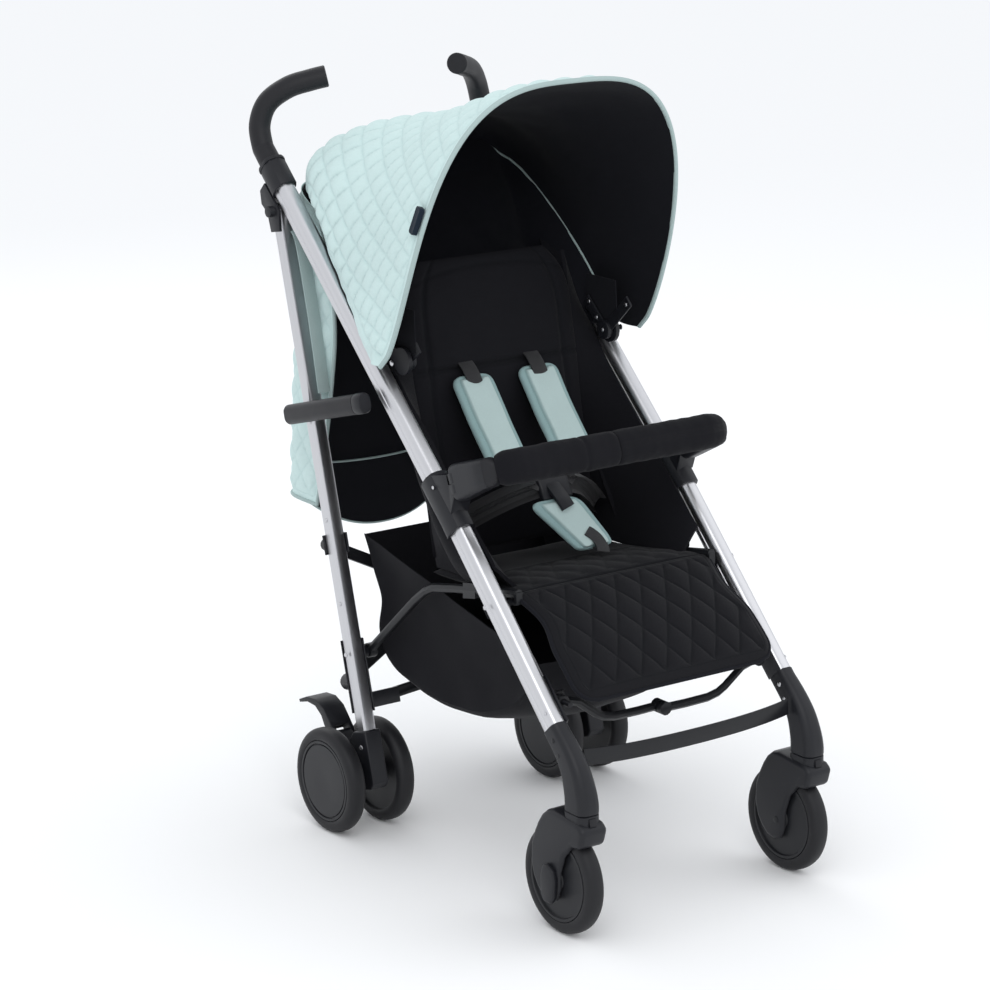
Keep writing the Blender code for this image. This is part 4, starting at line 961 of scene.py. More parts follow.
def pillow(name: str, middle: Callable[[float, float], tuple[Vector, Vector]], counts: tuple[int, int],
           top: float, bottom: float, material: Material, quilting: Quilting | None = None,
           power: float = 5.0, wrinkle: float = 0.0, seed: float = 0.0,
           dents: Callable[[float, float], float] | None = None) -> Piece:
    """A crowned closed pad over a middle surface.

    Args:
        name: the piece's name.
        middle: gives the place and outward direction at (u, v), each from -1 to 1.
        counts: how many points each way.
        top: how far the pad stands out over the middle surface.
        bottom: how far it stands out under it.
        material: the cloth.
        quilting: diamonds on the top.
        power: how boxy the pad's edge is.
        wrinkle: the height of soft wrinkles.
        seed: moves the wrinkles.
        dents: a further drop of the top at (u, v), for channels, which the cloth also darkens there as
            painted shade.

    Returns:
        The closed pad.
    """
    nu, nv = counts
    spread = [[middle(-1 + 2 * i / (nu - 1), -1 + 2 * j / (nv - 1)) for i in range(nu)] for j in range(nv)]
    points, uvs, channel_shades, insets, index = [], [], [], [], {}
    mid_i = nu // 2
    lengths_v = measured([line[mid_i][0] for line in spread])
    for layer, height in (("top", top), ("bottom", -bottom)):
        for j in range(nv):
            places = measured([spot for spot, _ in spread[j]])
            for i in range(nu):
                rim = i in (0, nu - 1) or j in (0, nv - 1)
                if rim and layer == "bottom":
                    index[layer, i, j] = index["top", i, j]
                    continue
                u, v = -1 + 2 * i / (nu - 1), -1 + 2 * j / (nv - 1)
                place_of, normal = spread[j][i]
                crown = ((1 - abs(u) ** power) * (1 - abs(v) ** power)) ** 0.5
                rise = height * crown
                across, along = places[i] - places[mid_i], lengths_v[j]
                seam, inset = 0.0, -1.0
                if layer == "top":
                    rise += wrinkle * ripple(place_of, 0.05, seed) * crown
                    if dents:
                        dent = dents(u, v)
                        rise -= dent * crown
                        # Painted shade: the seam value darkens the cloth as deep as the channel sinks.
                        seam = min(1.0, max(0.0, dent / 0.003))
                    if quilting:
                        inset = quilting.inset(
                            along, lengths_v[-1] - along, places[i], places[-1] - places[i]
                        )
                        share = max(0.0, min(1.0, inset / QUILT_FADE))
                        rise += quilting.puff * (quilt(across, along, *quilting.diamond) - 1) * share
                index[layer, i, j] = len(points)
                points.append(place_of + normal * rise)
                uvs.append((across, along))
                channel_shades.append(seam)
                insets.append(inset + 1)
    faces = []
    for j in range(nv - 1):
        for i in range(nu - 1):
            corners = [(i, j), (i + 1, j), (i + 1, j + 1), (i, j + 1)]
            faces.append(tuple(index["top", *corner] for corner in corners))
            faces.append(tuple(index["bottom", *corner] for corner in reversed(corners)))
    obj = mesh_piece(name, points, faces, material, uvs)
    mark(obj, "seam", channel_shades)
    mark(obj, "inset", insets)
    tidy_mesh(obj)
    soften(obj, 60)
    return obj


def piping(name: str, path: Sequence[Vector], radius: float, material: Material) -> Piece:
    """A sewn cord edge along a path."""
    slanted = Vector((0.3, 0.5, 0.8)).normalized()
    return sweep(name, path, round_section(radius, 10), material, across=slanted)


def strap(name: str, path: Sequence[Vector], width: float, thickness: float,
          material: Material, across: Vector = ACROSS) -> Piece:
    """A flat strap along a path, its width along the given direction."""
    section = rounded_section(width, thickness, thickness * 0.45, 2)
    return sweep(name, path, section, material, across=across, angle=40)


# Sub-assemblies


@dataclass
class SideFrame:
    """One side: tubes, handle, brackets, the moulded foot and the caster."""

    side: Side
    paint: Paint

    def build(self) -> None:
        """Builds every piece of the side."""
        self.tubes()
        self.handle()
        self.brackets()
        self.foot()
        self.caster()

    @property
    def x(self) -> float:
        """The side frame's plane."""
        return self.side.value * FRAME_HALF

    def tubes(self) -> None:
        """The grooved upper and lower tubes."""
        word, section = self.side.word, tube_section()
        upper = loft(f"{word}_upper_tube_skin", [
            ring(section, place(self.x, upper_point(s)), ACROSS, UPPER_DEEP) for s in (0.004, UPPER_LENGTH)
        ], self.paint.upper_metal)
        fit(upper, f"{word}_side", "aluminium", f"{word}_upper_tube")
        lower = loft(f"{word}_lower_tube_skin", [
            ring(section, place(self.x, lower_point(s)), ACROSS, LOWER_DEEP) for s in (0.004, LOWER_SHOWN)
        ], self.paint.lower_metal)
        fit(lower, f"{word}_side", "aluminium", f"{word}_lower_tube")

    def handle(self) -> None:
        """The sleeve with the leg's cheeks, the grip, and the seam between them."""
        word, sign = self.side.word, self.side.value
        fit(refined(f"{word}_handle_bracket", self.paint.plastic, 0.0012), f"{word}_side", "plastic")
        path = [place(self.x, upper_point(0.6073)), place(self.x, upper_point(0.613))]
        path += [place(p[0], p[1:]) for p in spline([
            (self.x, *upper_point(0.635)), (sign * 0.192, 0.377, 0.977), (sign * 0.181, 0.373, 1.008),
            (sign * 0.158, 0.355, 1.030), (sign * 0.132, 0.338, 1.040), (sign * 0.113, 0.326, 1.0455),
        ])]
        scales = [1.02 if i < 2 else 1.0 for i in range(len(path))]
        tail = (path[-1] - path[-2]).normalized()
        path += [path[-1] + tail * 0.0012]
        scales[-1] = 1.0
        scales += [0.90]
        section = [(a * 0.98, b * 1.04) for a, b in round_section(0.0155, 28)]
        grip = sweep(f"{word}_grip_skin", path, section, self.paint.grip, scales=scales)
        fit(grip, f"{word}_side", "grip", f"{word}_handle_grip")
        collar = [place(self.x, upper_point(s)) for s in (0.6010, 0.6035, 0.6065)]
        band = sweep(
            f"{word}_handle_band", collar, rounded_section(0.0345, 0.0405, 0.0135), self.paint.plastic,
            scales=[0.985, 1.0, 0.96],
        )
        fit(band, f"{word}_side", "plastic")

    def brackets(self) -> None:
        """Bumper bracket, hood hinge, link clip and their screws."""
        word, sign = self.side.word, self.side.value
        body, outward = f"{word}_side", ACROSS * sign
        wall = FRAME_HALF - TUBE_WIDTH / 2
        ahead = (place(0, lower_point(0.2, 1.0)) - place(0, lower_point(0.2))).normalized()
        fit_opened(f"{word}_link_clamp", self.paint.plastic, body, [
            (place(0, lower_point(0.2, -TUBE_DEPTH / 2 - WALL_GAP)), ahead),
            (Vector((sign * (wall - 0.0034), 0, 0)), outward),
        ])
        fit(refined(f"{word}_bumper_bracket", self.paint.plastic, 0.0018), body, "plastic")
        hinge = refined(f"{word}_canopy_hinge", self.paint.plastic, 0.0014)
        keep_side(hinge, Vector((sign * (wall - WALL_GAP), 0, 0)), outward)
        soften(hinge, 38)
        fit(hinge, body, "plastic")
        heads = [
            (place(self.x + sign * 0.017, (-0.0700, 0.5475)), 0.0026, 0.0012),
            (place(self.x + sign * 0.0189, lower_point(0.1395)), 0.0034, 0.0012),
            (place(sign * 0.1968, CANOPY_PIVOT), 0.0042, 0.0012),
            (place(self.x + sign * 0.0122, (-0.3141, 0.2960)), 0.0026, 0.0012),
        ]
        fit(studs(f"{word}_screw_heads", heads, outward, self.paint.rivet), body, "aluminium")

    def foot(self) -> None:
        """The moulded foot that takes the lower tube down to the swivel, and its ear for the brace."""
        word, sign = self.side.word, self.side.value
        shape = [
            (SWIVEL[0], SWIVEL[1] + WALL_GAP, 0.0335, 0.0440, 90), (-0.3780, 0.1795, 0.0345, 0.0450, 90),
            (-0.3778, 0.1900, 0.0342, 0.0446, 88), (-0.3740, 0.2060, 0.0328, 0.0425, 77),
            (-0.3640, 0.2290, 0.0302, 0.0385, 63), (-0.3480, 0.2500, 0.0278, 0.0345, 52),
            (*lower_point(0.3350), 0.0262, 0.0322, 45.8), (*lower_point(0.3262), 0.0262, 0.0322, 45.8),
            (*lower_point(0.3255), 0.0250, 0.0310, 45.8),
        ]
        rings = []
        for y, z, wide, deep_size, lean in [shape[0]] + spline(shape[1:7], 6) + shape[7:]:
            turn = math.radians(lean)
            deep = Vector((0, -math.sin(turn), math.cos(turn)))
            section = rounded_section(wide, deep_size, 0.36 * wide, 6)
            rings.append(ring(section, place(self.x, (y, z)), ACROSS, deep))
        skin = loft(f"{word}_foot_moulding", rings, self.paint.plastic)
        ear = refined(f"{word}_lower_leg", self.paint.plastic, 0.0006, name=f"{word}_foot_ear")
        along = Vector((0, -math.cos(LOWER_LEAN), -math.sin(LOWER_LEAN)))
        keep_side(ear, place(self.x, lower_point(0.3262)), along)
        keep_side(ear, Vector((sign * 0.1814, 0, 0)), ACROSS * sign)
        fit(joined(f"{word}_foot_moulding", [skin, ear]), f"{word}_side", "plastic", f"{word}_lower_leg")
        outer = [
            (place(self.x + sign * 0.0135, spot), 0.0034, 0.0012)
            for spot in ((-0.3330, 0.2640), (-0.3455, 0.2470))
        ]
        heads = studs(f"{word}_foot_screws_outer", outer, ACROSS * sign, self.paint.steel)
        fit(heads, f"{word}_side", "plastic")
        inner = [
            (place(self.x - sign * 0.0133, spot), 0.0036, 0.0012)
            for spot in ((-0.3325, 0.2660), (-0.3440, 0.2480))
        ]
        heads = studs(f"{word}_foot_screws", inner, ACROSS * -sign, self.paint.rivet)
        fit(heads, f"{word}_side", "aluminium")

    def plate(self, name: str, start: Vector, outline: Iterable[Point], half: float,
              width: float, segments: int, limit: float) -> Piece:
        """A moulded plate round a place, given by its outline, half thickness and rounded edges."""
        made = prism(name, [start + Vector((0, y, z)) for y, z in outline], half, self.paint.plastic)
        round_edges(made, width, segments, limit)
        return made

    def caster(self) -> None:
        """The fork with its neck, the cap over the axle and the front wheel."""
        word, sign, plastic = self.side.word, self.side.value, self.paint.plastic
        axle = place(self.x, FRONT_AXLE)
        fork = self.plate(f"{word}_fork_moulding", axle, (
            (-0.046, 0.094), (-0.056, 0.0925), (-0.0665, 0.0850), (-0.0600, 0.0610), (-0.050, 0.0585),
            (-0.040, 0.0575), (-0.024, 0.0400), (-0.0150, 0.0150), (-0.0140, -0.010), (-0.008, -0.026),
            (0.006, -0.031), (0.020, -0.028), (0.032, -0.018), (0.042, -0.004), (0.0475, 0.016),
            (0.0465, 0.040), (0.0395, 0.060), (0.0320, 0.075), (0.0245, 0.086), (0.0130, 0.0955),
            (0.000, 0.0985), (-0.028, 0.0955),
        ), 0.0213, 0.0065, 4, 60)
        hollow = rod("hollow", axle - ACROSS * 0.0158, axle + ACROSS * 0.0158, 0.0785, plastic, 0.0, 64)
        apply_modifier(fork, "BOOLEAN", operation="DIFFERENCE", object=hollow, solver="EXACT")
        bpy.data.objects.remove(hollow)
        soften(fork, 40)
        neck_marks = (
            (0.95, 0, 0.1774), (1.0, 0, 0.1766), (1.0, 0, 0.1690), (1.04, 0.001, 0.1640),
            (1.12, 0.003, 0.1600), (1.16, 0.006, 0.1560),
        )
        neck = loft(f"{word}_neck", [
            ring(rounded_section(0.0345 * grow, 0.0450 * grow, 0.0125),
                 place(self.x, (SWIVEL[0] + back, z)), ACROSS, Vector((0, 1, 0)))
            for grow, back, z in neck_marks
        ], plastic)
        cover = self.plate(f"{word}_axle_cap", axle + ACROSS * sign * 0.0240, (
            (-0.0125, -0.020), (-0.0135, 0.004), (-0.0100, 0.017), (0.0020, 0.024), (0.0120, 0.021),
            (0.0160, 0.006), (0.0150, -0.020), (0.0090, -0.029), (-0.0060, -0.029),
        ), 0.0040, 0.0026, 3, 42)
        soften(cover, 40)
        reach = ACROSS * 0.0222
        core = rod(f"{word}_axle_rod", axle - reach, axle + reach, 0.0050, self.paint.steel)
        whole = joined(f"{word}_fork_moulding", [fork, neck, cover, core])
        fit(whole, f"{word}_caster", "plastic", f"{word}_fork")
        fit(refined(f"{word}_swivel_lock", self.paint.grip, 0.0006), f"{word}_swivel_lock", "grip")
        Wheel(axle, 0.0745, sign, f"{word}_front_wheel", self.paint, False).build(f"{word}_front_wheel")


@dataclass
class Wheel:
    """A tyre on a dished disc."""

    centre: Vector
    radius: float
    outward: float
    name: str
    paint: Paint
    closed: bool

    def build(self, body: str) -> None:
        """Builds the tyre and the disc on one body."""
        half, r = WHEEL_WIDTH / 2, self.radius
        bead = r - 0.0165
        arc = []
        for step in range(13):
            angle = math.pi * step / 12
            arc.append((
                r - 0.0135 + 0.0135 * math.sin(angle) ** 0.8,
                (half - 0.0004) * math.copysign(abs(math.cos(angle)) ** 0.75, math.cos(angle)),
            ))
        tyre = [(bead - 0.001, half - 0.004), (bead, half - 0.0016)] + arc
        tyre += [(bead, -half + 0.0016), (bead - 0.001, -half + 0.004), (bead - 0.001, half - 0.004)]
        ring_piece = spun(self.name + "_tyre", tyre, self.centre, self.outward, self.paint.tyre)
        fit(ring_piece, body, "rubber", self.name)
        rim = bead - 0.0004
        if self.closed:
            disc = [
                (0, half - 0.0024), (rim * 0.30, half - 0.0020), (rim * 0.60, half - 0.0014),
                (rim - 0.0068, half - 0.0018), (rim - 0.0060, half - 0.0034), (rim - 0.0050, half - 0.0034),
                (rim - 0.0042, half - 0.0012), (rim - 0.0008, half - 0.0012), (rim, half - 0.0030),
                (rim, -half + 0.006), (rim - 0.006, -half + 0.007), (0.0210, -half + 0.0060),
                (0.0170, -half + 0.0012), (0.0056, -half + 0.0012), (0.0056, half - 0.0090),
                (0, half - 0.0090),
            ]
        else:
            face = [
                (0.0056, half - 0.0006), (0.0125, half - 0.0006), (0.0135, half - 0.0026),
                (rim - 0.0100, half - 0.0040), (rim - 0.0060, half - 0.0040), (rim - 0.0046, half - 0.0012),
                (rim - 0.0008, half - 0.0012), (rim, half - 0.0030),
            ]
            disc = face + [(radius, -along) for radius, along in reversed(face)] + [face[0]]
        fit(spun(self.name + "_disc", disc, self.centre, self.outward, self.paint.disc), body, "rubber")


@dataclass
class RearLeg:
    """One rear leg with its foot, twin wheels, brake and the folding bars on it."""

    side: Side
    paint: Paint
    pedal_share: float = 0.78
    handle_down: float = 0.2850

    def build(self) -> None:
        """Builds every piece of the leg."""
        word, sign, paint = self.side.word, self.side.value, self.paint
        x = sign * FRAME_HALF
        fit(refined(f"{word}_rear_leg", paint.leg_metal, 0.0), f"{word}_leg", "aluminium")
        fit(refined(f"{word}_axle_housing", paint.plastic), f"{word}_leg", "plastic")
        for node, body in (("leg_bracket", "leg"), ("cross_slider", "slider")):
            fit_opened(f"{word}_{node}", paint.plastic, f"{word}_{body}", [
                (Vector((sign * (FRAME_HALF - LEG_WIDTH / 2 - WALL_GAP), 0, 0)), ACROSS * sign),
                (place(0, leg_point(0.5, LEG_DEPTH / 2 + WALL_GAP)), -LEG_BACK),
            ])
        pedal = refined(f"{word}_brake_pedal", paint.plastic, 0.0016, 3)
        for vertex in pedal.data.vertices:
            vertex.co.x = x + (vertex.co.x - x) * self.pedal_share
        fit(pedal, f"{word}_brake", "plastic")
        bars = {"cross_bar": "cross", "rear_brace": "rear_brace", "front_brace": "front_brace"}
        for node, body in bars.items():
            fit(refined(f"{word}_{node}", paint.steel), f"{word}_{body}", "steel")
        fit(refined(f"{word}_side_link", paint.steel, 0.0), f"{word}_link", "steel")
        marks = [(0.0102, down, 0.0032, 0.0014) for down in (0.300, 0.440, 0.560)]
        marks += [(0.0140, 0.632, 0.0036, 0.0016), (0.0137, 0.765, 0.0036, 0.0016)]
        heads = [
            (place(x + sign * out, leg_point(down)), radius, height) for out, down, radius, height in marks
        ]
        fit(studs(f"{word}_leg_rivets", heads, ACROSS * sign, paint.rivet), f"{word}_leg", "aluminium")
        for where, away in (("outer", sign), ("inner", -sign)):
            name = f"{word}_rear_wheel_{where}"
            Wheel(place(x + away * 0.0415, REAR_AXLE), 0.0755, away, name, paint, True).build(name)
        if self.side is Side.RIGHT:
            self.carry_handle()

    def carry_handle(self) -> None:
        """The oval grip on the outside of the leg, with its darker end cap."""
        section = rounded_section(0.0200, 0.0285, 0.0098, 8)
        down = Vector((0, -math.sin(LEG_LEAN), -math.cos(LEG_LEAN)))
        pieces = (
            ("carry_handle_bar", self.paint.grip, ["right_carry_handle"],
             ((0.0215, 0.80), (0.0205, 0.93), (0.0185, 1.0), (-0.158, 1.0))),
            ("carry_handle_cap", self.paint.plastic, [],
             ((-0.1585, 0.97), (-0.160, 1.03), (-0.176, 1.03), (-0.1785, 0.92))),
        )
        for name, material, nodes, marks in pieces:
            rings = [
                ring(section, place(-0.2215, leg_point(self.handle_down, back)), ACROSS, down, scale)
                for back, scale in marks
            ]
            fit(loft(name, rings, material), "right_leg", "grip", *nodes)
        hub = place(-FRAME_HALF, leg_point(self.handle_down))
        start, end = hub - ACROSS * 0.0103, hub - ACROSS * 0.020
        foot = rod("carry_handle_foot", start, end, 0.010, self.paint.plastic)
        fit(foot, "right_leg", "grip")


@dataclass
class Bumper:
    """Half of the bumper bar: the moulded arm and the padded cover."""

    side: Side
    paint: Paint
    bend: float = 0.034
    deep: float = 0.038
    tall: float = 0.046

    def build(self) -> None:
        """Builds the arm and the cover on the bumper's own body."""
        word, sign = self.side.word, self.side.value
        forward = Vector((0, -math.cos(BUMPER_RISE), math.sin(BUMPER_RISE)))
        up = Vector((0, math.sin(BUMPER_RISE), math.cos(BUMPER_RISE)))
        inward = ACROSS * -sign
        pivot = place(sign * FRAME_HALF, BUMPER_PIVOT)
        start = pivot + forward * (BUMPER_REACH - self.bend)
        path = [pivot + forward * along for along in (-0.003, 0.000, 0.018, 0.036)] + [start]
        shares = [1.06, 1.12, 1.06, 0.98, 0.93]
        for step in range(1, 9):
            angle = math.pi / 2 * step / 8
            turned = forward * math.sin(angle) - inward * math.cos(angle)
            path.append(start + inward * self.bend + turned * self.bend)
            shares.append(0.90 - 0.01 * step if step < 5 else 1.0)
        for inwards in (0.045, 0.06, 0.08, 0.10, 0.12, 0.14, 0.16, 0.175, 0.1925):
            path.append(pivot + forward * BUMPER_REACH + inward * inwards)
            shares.append(1.0)
        rings: Rings = []
        for i, point in enumerate(path):
            tangent = chord(path, i).normalized()
            out = up.cross(tangent)
            share = shares[i]
            height = self.tall * share
            width = self.deep * (0.82 if i < 8 else 1.0)
            section = rounded_section(width, height, (0.30 if i < 8 else 0.47) * min(width, height), 6)
            rings.append(ring(section, point, out, up))
        arm = loft(f"{word}_bumper_arm", rings[:7], self.paint.plastic)
        collar = [
            [path[n] + (spot - path[n]) * grow for spot in rings[n]]
            for n, grow in ((6, 0.985), (7, 0.985), (8, 0.80))
        ]
        ferrule = loft(f"{word}_bumper_collar", collar, self.paint.grip)
        fit(joined(f"{word}_bumper_arm", [arm, ferrule]), f"{word}_bumper", "plastic")
        hinge = refined(f"{word}_bumper_bar", self.paint.plastic, 0.0010, name=f"{word}_bumper_core")
        keep_side(hinge, pivot + forward * 0.032, forward)
        fit(hinge, f"{word}_bumper", "plastic")
        self.cover(rings[8:], path[8:])

    def cover(self, rings: Rings, path: list[Vector]) -> None:
        """The fabric cover with its stitched edge and soft wrinkles."""
        word = self.side.word
        dense: Rings = []
        centres = []
        for i in range(len(rings) - 1):
            gap = (path[i + 1] - path[i]).length
            steps = max(1, round(gap / 0.0025))
            for step in range(steps):
                t = step / steps
                dense.append([a.lerp(b, t) for a, b in zip(rings[i], rings[i + 1])])
                centres.append(path[i].lerp(path[i + 1], t))
        middle = path[-1]
        dense.append(list(rings[-1]))
        centres.append(middle)
        count = len(dense)
        for number, (one, centre) in enumerate(zip(dense, centres)):
            swell = 1.04 - 0.06 * math.exp(-number / 2.0) - 0.05 * math.exp(-(count - 1 - number) / 1.2)
            from_pinch = (centre - middle).length - 0.055
            if self.side is Side.RIGHT:
                swell -= 0.06 * math.exp(-(from_pinch / 0.0035) ** 2)
            swell -= 0.03 * math.exp(-((number - 3.0) / 1.0) ** 2)
            for i, point in enumerate(one):
                away = point - centre
                fold = 0.0012 * ripple(point, 0.034, 5.0) + 0.0007 * ripple(point, 0.013, 9.0)
                dense[number][i] = centre + away * (swell + fold / max(away.length, 1e-4))
        cover = loft(f"{word}_bumper_cover", dense, self.paint.black, angle=60)
        fit(cover, f"{word}_bumper", "black_cloth", f"{word}_bumper_bar")


@dataclass
class Hood:
    """The quilted hood with its lining, bindings, arms and the tail behind the seat."""

    paint: Paint
    half: float = 0.222

    def controls(self) -> list[tuple[float, ...]]:
        """Rows from the front bow to the rear rim.

        Returns:
            For each row its base y and z, top y and z, half width, boxiness and forward bow.
        """
        half = self.half
        return [
            (0.035, 0.695, -0.100, 1.080, half + 0.0025, 3.1, 0.65),
            (0.075, 0.700, -0.010, 1.058, half - 0.0065, 2.8, 0.80),
            (0.120, 0.7375, 0.085, 1.025, half - 0.0165, 2.6, 0.90),
            (0.160, 0.775, 0.170, 1.003, half - 0.0250, 2.8, 1.0),
            (0.205, 0.8175, 0.247, 0.988, half - 0.0340, 3.4, 1.0),
            (0.250, 0.860, 0.308, 0.958, half - 0.0440, 3.7, 1.0),
            (0.268, 0.868, 0.342, 0.903, half - 0.0570, 3.0, 1.0),
        ]

    def row(self, control: Sequence[float], count: int) -> list[Vector]:
        """Evenly spaced points round one bow."""
        base_y, base_z, top_y, top_z, half, power, lean = control
        fine = []
        for step in range(401):
            angle = math.pi * step / 400
            x = -half * math.copysign(abs(math.cos(angle)) ** (2 / power), math.cos(angle))
            share = abs(math.sin(angle)) ** (2 / power)
            spot = (base_y + (top_y - base_y) * share ** lean, base_z + (top_z - base_z) * share)
            fine.append(place(x, spot))
        return evenly(fine, count)

    def build(self) -> None:
        """Builds the hood and its tail."""
        rows = [self.row(control, 321) for control in spline(self.controls(), 16)]
        cut = Quilting(HOOD_DIAMOND, 0.0050, 0.0105, 0.0200, 0.0080)
        outer = cloth_grid("canopy_quilted_shell", rows, self.paint.mint, 0.0012, cut, wrinkle=0.0012,
                           slack=self.gather, drape=Vector((0, 1, 0)))
        self.cloth(outer, "canopy", "mint_cloth", (1.10, 0.50), "stretched", (), "canopy")
        inner = self.sunk(rows, 0.0045, 2)
        lining = cloth_grid("canopy_lining", inner, self.paint.lining, 0.0008, wrinkle=0.0020)
        self.cloth(lining, "canopy", "black_cloth", (1.10, 0.50), "stretched", ())
        front = [point.lerp(inner[0][i], 0.5) for i, point in enumerate(rows[0][::2])]
        self.binding("canopy_front_piping", front, 0.0034)
        self.curtain(rows)
        self.tag(rows)
        self.stays()
        self.tail()

    @staticmethod
    def gather(side: float, front: float) -> float:
        """The folds in the plain strip along the tube, deepest by the hinge."""
        strip = max(0.0, 1 - side / 0.034)
        return strip * (0.0020 + 0.0060 * math.exp(-((front - 0.045) / 0.05) ** 2))

    def cloth(self, obj: Piece, body: str, slot: str, flat: Point, held: str,
              rests_on: Sequence[str], *nodes: str) -> None:
        """Fits a sheet of the hood on its body."""
        fit_sheet(obj, body, slot, HOOD_LEVEL, nodes)

    @staticmethod
    def sunk(rows: Rings, depth: float, every: int) -> Rings:
        """The same surface a little inside, with fewer points."""
        return [
            [row[i] - outward_at(rows, r, i) * depth for i in range(0, len(row), every)]
            for r, row in enumerate(rows) if r % every == 0
        ]

    def curtain(self, rows: Rings) -> None:
        """The black cloth inside, from a seam under the hood down behind the top of the backrest."""
        count = len(rows[0])
        seam, low = [], []
        for i in range(0, count, 4):
            share = 1 - abs(2 * i / (count - 1) - 1)
            climb = min(1.0, share / 0.27)
            r = round(24 + 59 * climb * climb * (3 - 2 * climb))
            seam.append(rows[r][i] - outward_at(rows, r, i) * 0.0065)
            rise = math.sin(share * math.pi / 2) ** 0.6
            low.append(place(math.copysign(0.152 * abs(2 * i / (count - 1) - 1) ** 0.7, 2 * i - count + 1),
                             (0.080 + 0.062 * rise, 0.660 + 0.125 * rise)))
        sheet = []
        for step in range(33):
            t = step / 32
            sag = 0.012 * math.sin(math.pi * t)
            sheet.append([a.lerp(b, t) - Vector((0, 0, sag)) for a, b in zip(seam, low)])
        cloth = cloth_grid("canopy_back_lining", sheet, self.paint.lining, 0.0010, wrinkle=0.0050)
        self.cloth(cloth, "canopy", "black_cloth", (0.70, 0.30), "hung", ["canopy_lining"])
        self.binding("canopy_inner_piping", seam, 0.0016)
        for side in Side:
            x = side.value * 0.1722
            outline = [(0.022, 0.710), (0.060, 0.692), (0.092, 0.722), (0.094, 0.768), (0.026, 0.768)]
            gusset = prism(f"{side.word}_canopy_gusset", [place(x, spot) for spot in outline], 0.0007,
                           self.paint.lining)
            fit_folding(gusset, "canopy", "black_cloth", HOOD_LEVEL)

    def tag(self, rows: Rings) -> None:
        """The small bare woven tag sewn beside the front hem."""
        row, column, wide, tall = 4, 68, 0.013, 0.038
        centre = rows[row][column]
        along = (rows[row][column + 2] - rows[row][column - 2]).normalized()
        outward = outward_at(rows, row, column)
        back = outward.cross(along)
        if back.y < 0:
            back = -back
        middle = centre + outward * 0.0078 - back * 0.0045
        section = rounded_section(tall, wide, 0.0030, 5)
        rings = [
            [middle + along * (a * grow) + back * (b * grow) + outward * up for a, b in section]
            for grow, up in ((1.0, -0.0060), (1.0, 0.0009), (0.94, 0.0014), (0.84, 0.0010))
        ]
        patch = loft("canopy_plain_tag", rings, self.paint.tag)
        fit_folding(patch, "canopy", "black_cloth", HOOD_LEVEL)

    def stays(self) -> None:
        """The flat ends of the hood's bows, screwed together at each hinge."""
        for side in Side:
            sign, name = side.value, f"{side.word}_canopy_stays"
            ends = [(-0.006, 0.744), (0.088, 0.733)]
            if side is Side.RIGHT:
                ends[0] = (0.018, 0.718)
            parts = []
            for n, (end, across) in enumerate(zip(ends, ((0, 0.7, 0.7), (0, -0.5, 0.9)))):
                path = [place(sign * (0.1712 - 0.0034 * n), spot) for spot in (CANOPY_PIVOT, end)]
                parts.append(strap(f"{name}_{n}", path, 0.017, 0.0032, self.paint.plastic, Vector(across)))
            parts.append(rod(f"{name}_hub", place(sign * 0.1735, CANOPY_PIVOT),
                             place(sign * 0.1640, CANOPY_PIVOT), 0.0135, self.paint.plastic, 0.0015))
            fit_folding(joined(name, parts), "canopy", "plastic", HOOD_LEVEL)
            spots = [(0.1638, CANOPY_PIVOT), (0.1660, (0.080, 0.730)), (0.1660, (0.062, 0.710))]
            if side is Side.LEFT:
                spots.append((0.1695, (0.0, 0.738)))
            heads = [(place(sign * depth, spot), 0.0034, 0.0013) for depth, spot in spots]
            screws = studs(f"{side.word}_canopy_stay_screws", heads, ACROSS * -sign, self.paint.rivet)
            fit_folding(screws, "canopy", "aluminium", HOOD_LEVEL)

    def binding(self, name: str, path: list[Vector], radius: float, body: str = "canopy") -> None:
        """A mint piping on its body."""
        fit_folding(piping(name, path, radius, self.paint.mint_trim), body, "mint_cloth", HOOD_LEVEL)

    def tail(self) -> None:
        """The quilted tail that hangs behind the backrest, its sides wrapped forward."""
        back = spline([(0, 0.345, 0.902), (0, 0.360, 0.820), (0, 0.371, 0.690), (0, 0.377, 0.560),
                       (0, 0.375, 0.445), (0, 0.357, 0.360)], 16)
        edge = spline([(0, 0.268, 0.862), (0, 0.243, 0.775), (0, 0.231, 0.700), (0, 0.237, 0.625),
                       (0, 0.250, 0.540), (0, 0.271, 0.443)], 16)
        rows = []
        count = 64
        fine = [self.plan_at(math.pi / 2 * (-1 + i / 600)) for i in range(1201)]
        plan = evenly(fine, 121, lambda step: Vector((step.x, step.y * 0.75)))
        for step in range(count + 1):
            fall = step / count
            row = []
            for across, deep in plan:
                high = edge[0].z + (back[0].z - edge[0].z) * deep
                low = edge[-1].z - 0.071 * max(0.0, 1 - (abs(across) / 0.86) ** 2.2)
                z = high + (low - high) * fall
                y = self.at_height(edge, z) + (self.at_height(back, z) - self.at_height(edge, z)) * deep
                row.append(place(across * (0.1645 + 0.013 * max(0.0, fall - 0.3)), (y, z)))
            rows.append(row)
        cut = Quilting(HOOD_DIAMOND, 0.0050, 0.006, 0.0100, 0.0100)
        outer = cloth_grid("rear_flap_quilted", rows, self.paint.mint, 0.0012, cut, wrinkle=0.0020,
                           drape=Vector((0, 0, -1)))
        self.cloth(outer, "pushchair", "mint_cloth", (0.52, 0.60), "hung", ["canopy_quilted_shell"],
                   "rear_flap")
        inner = self.sunk(rows, 0.0035, 2)
        lining = cloth_grid("rear_flap_lining", inner, self.paint.lining, 0.0008, wrinkle=0.0016)
        self.cloth(lining, "pushchair", "black_cloth", (0.52, 0.60), "hung", ["rear_flap_quilted"])
        rim = [row[0] for row in rows[:-1]] + rows[-1] + [row[-1] for row in reversed(rows[:-1])]
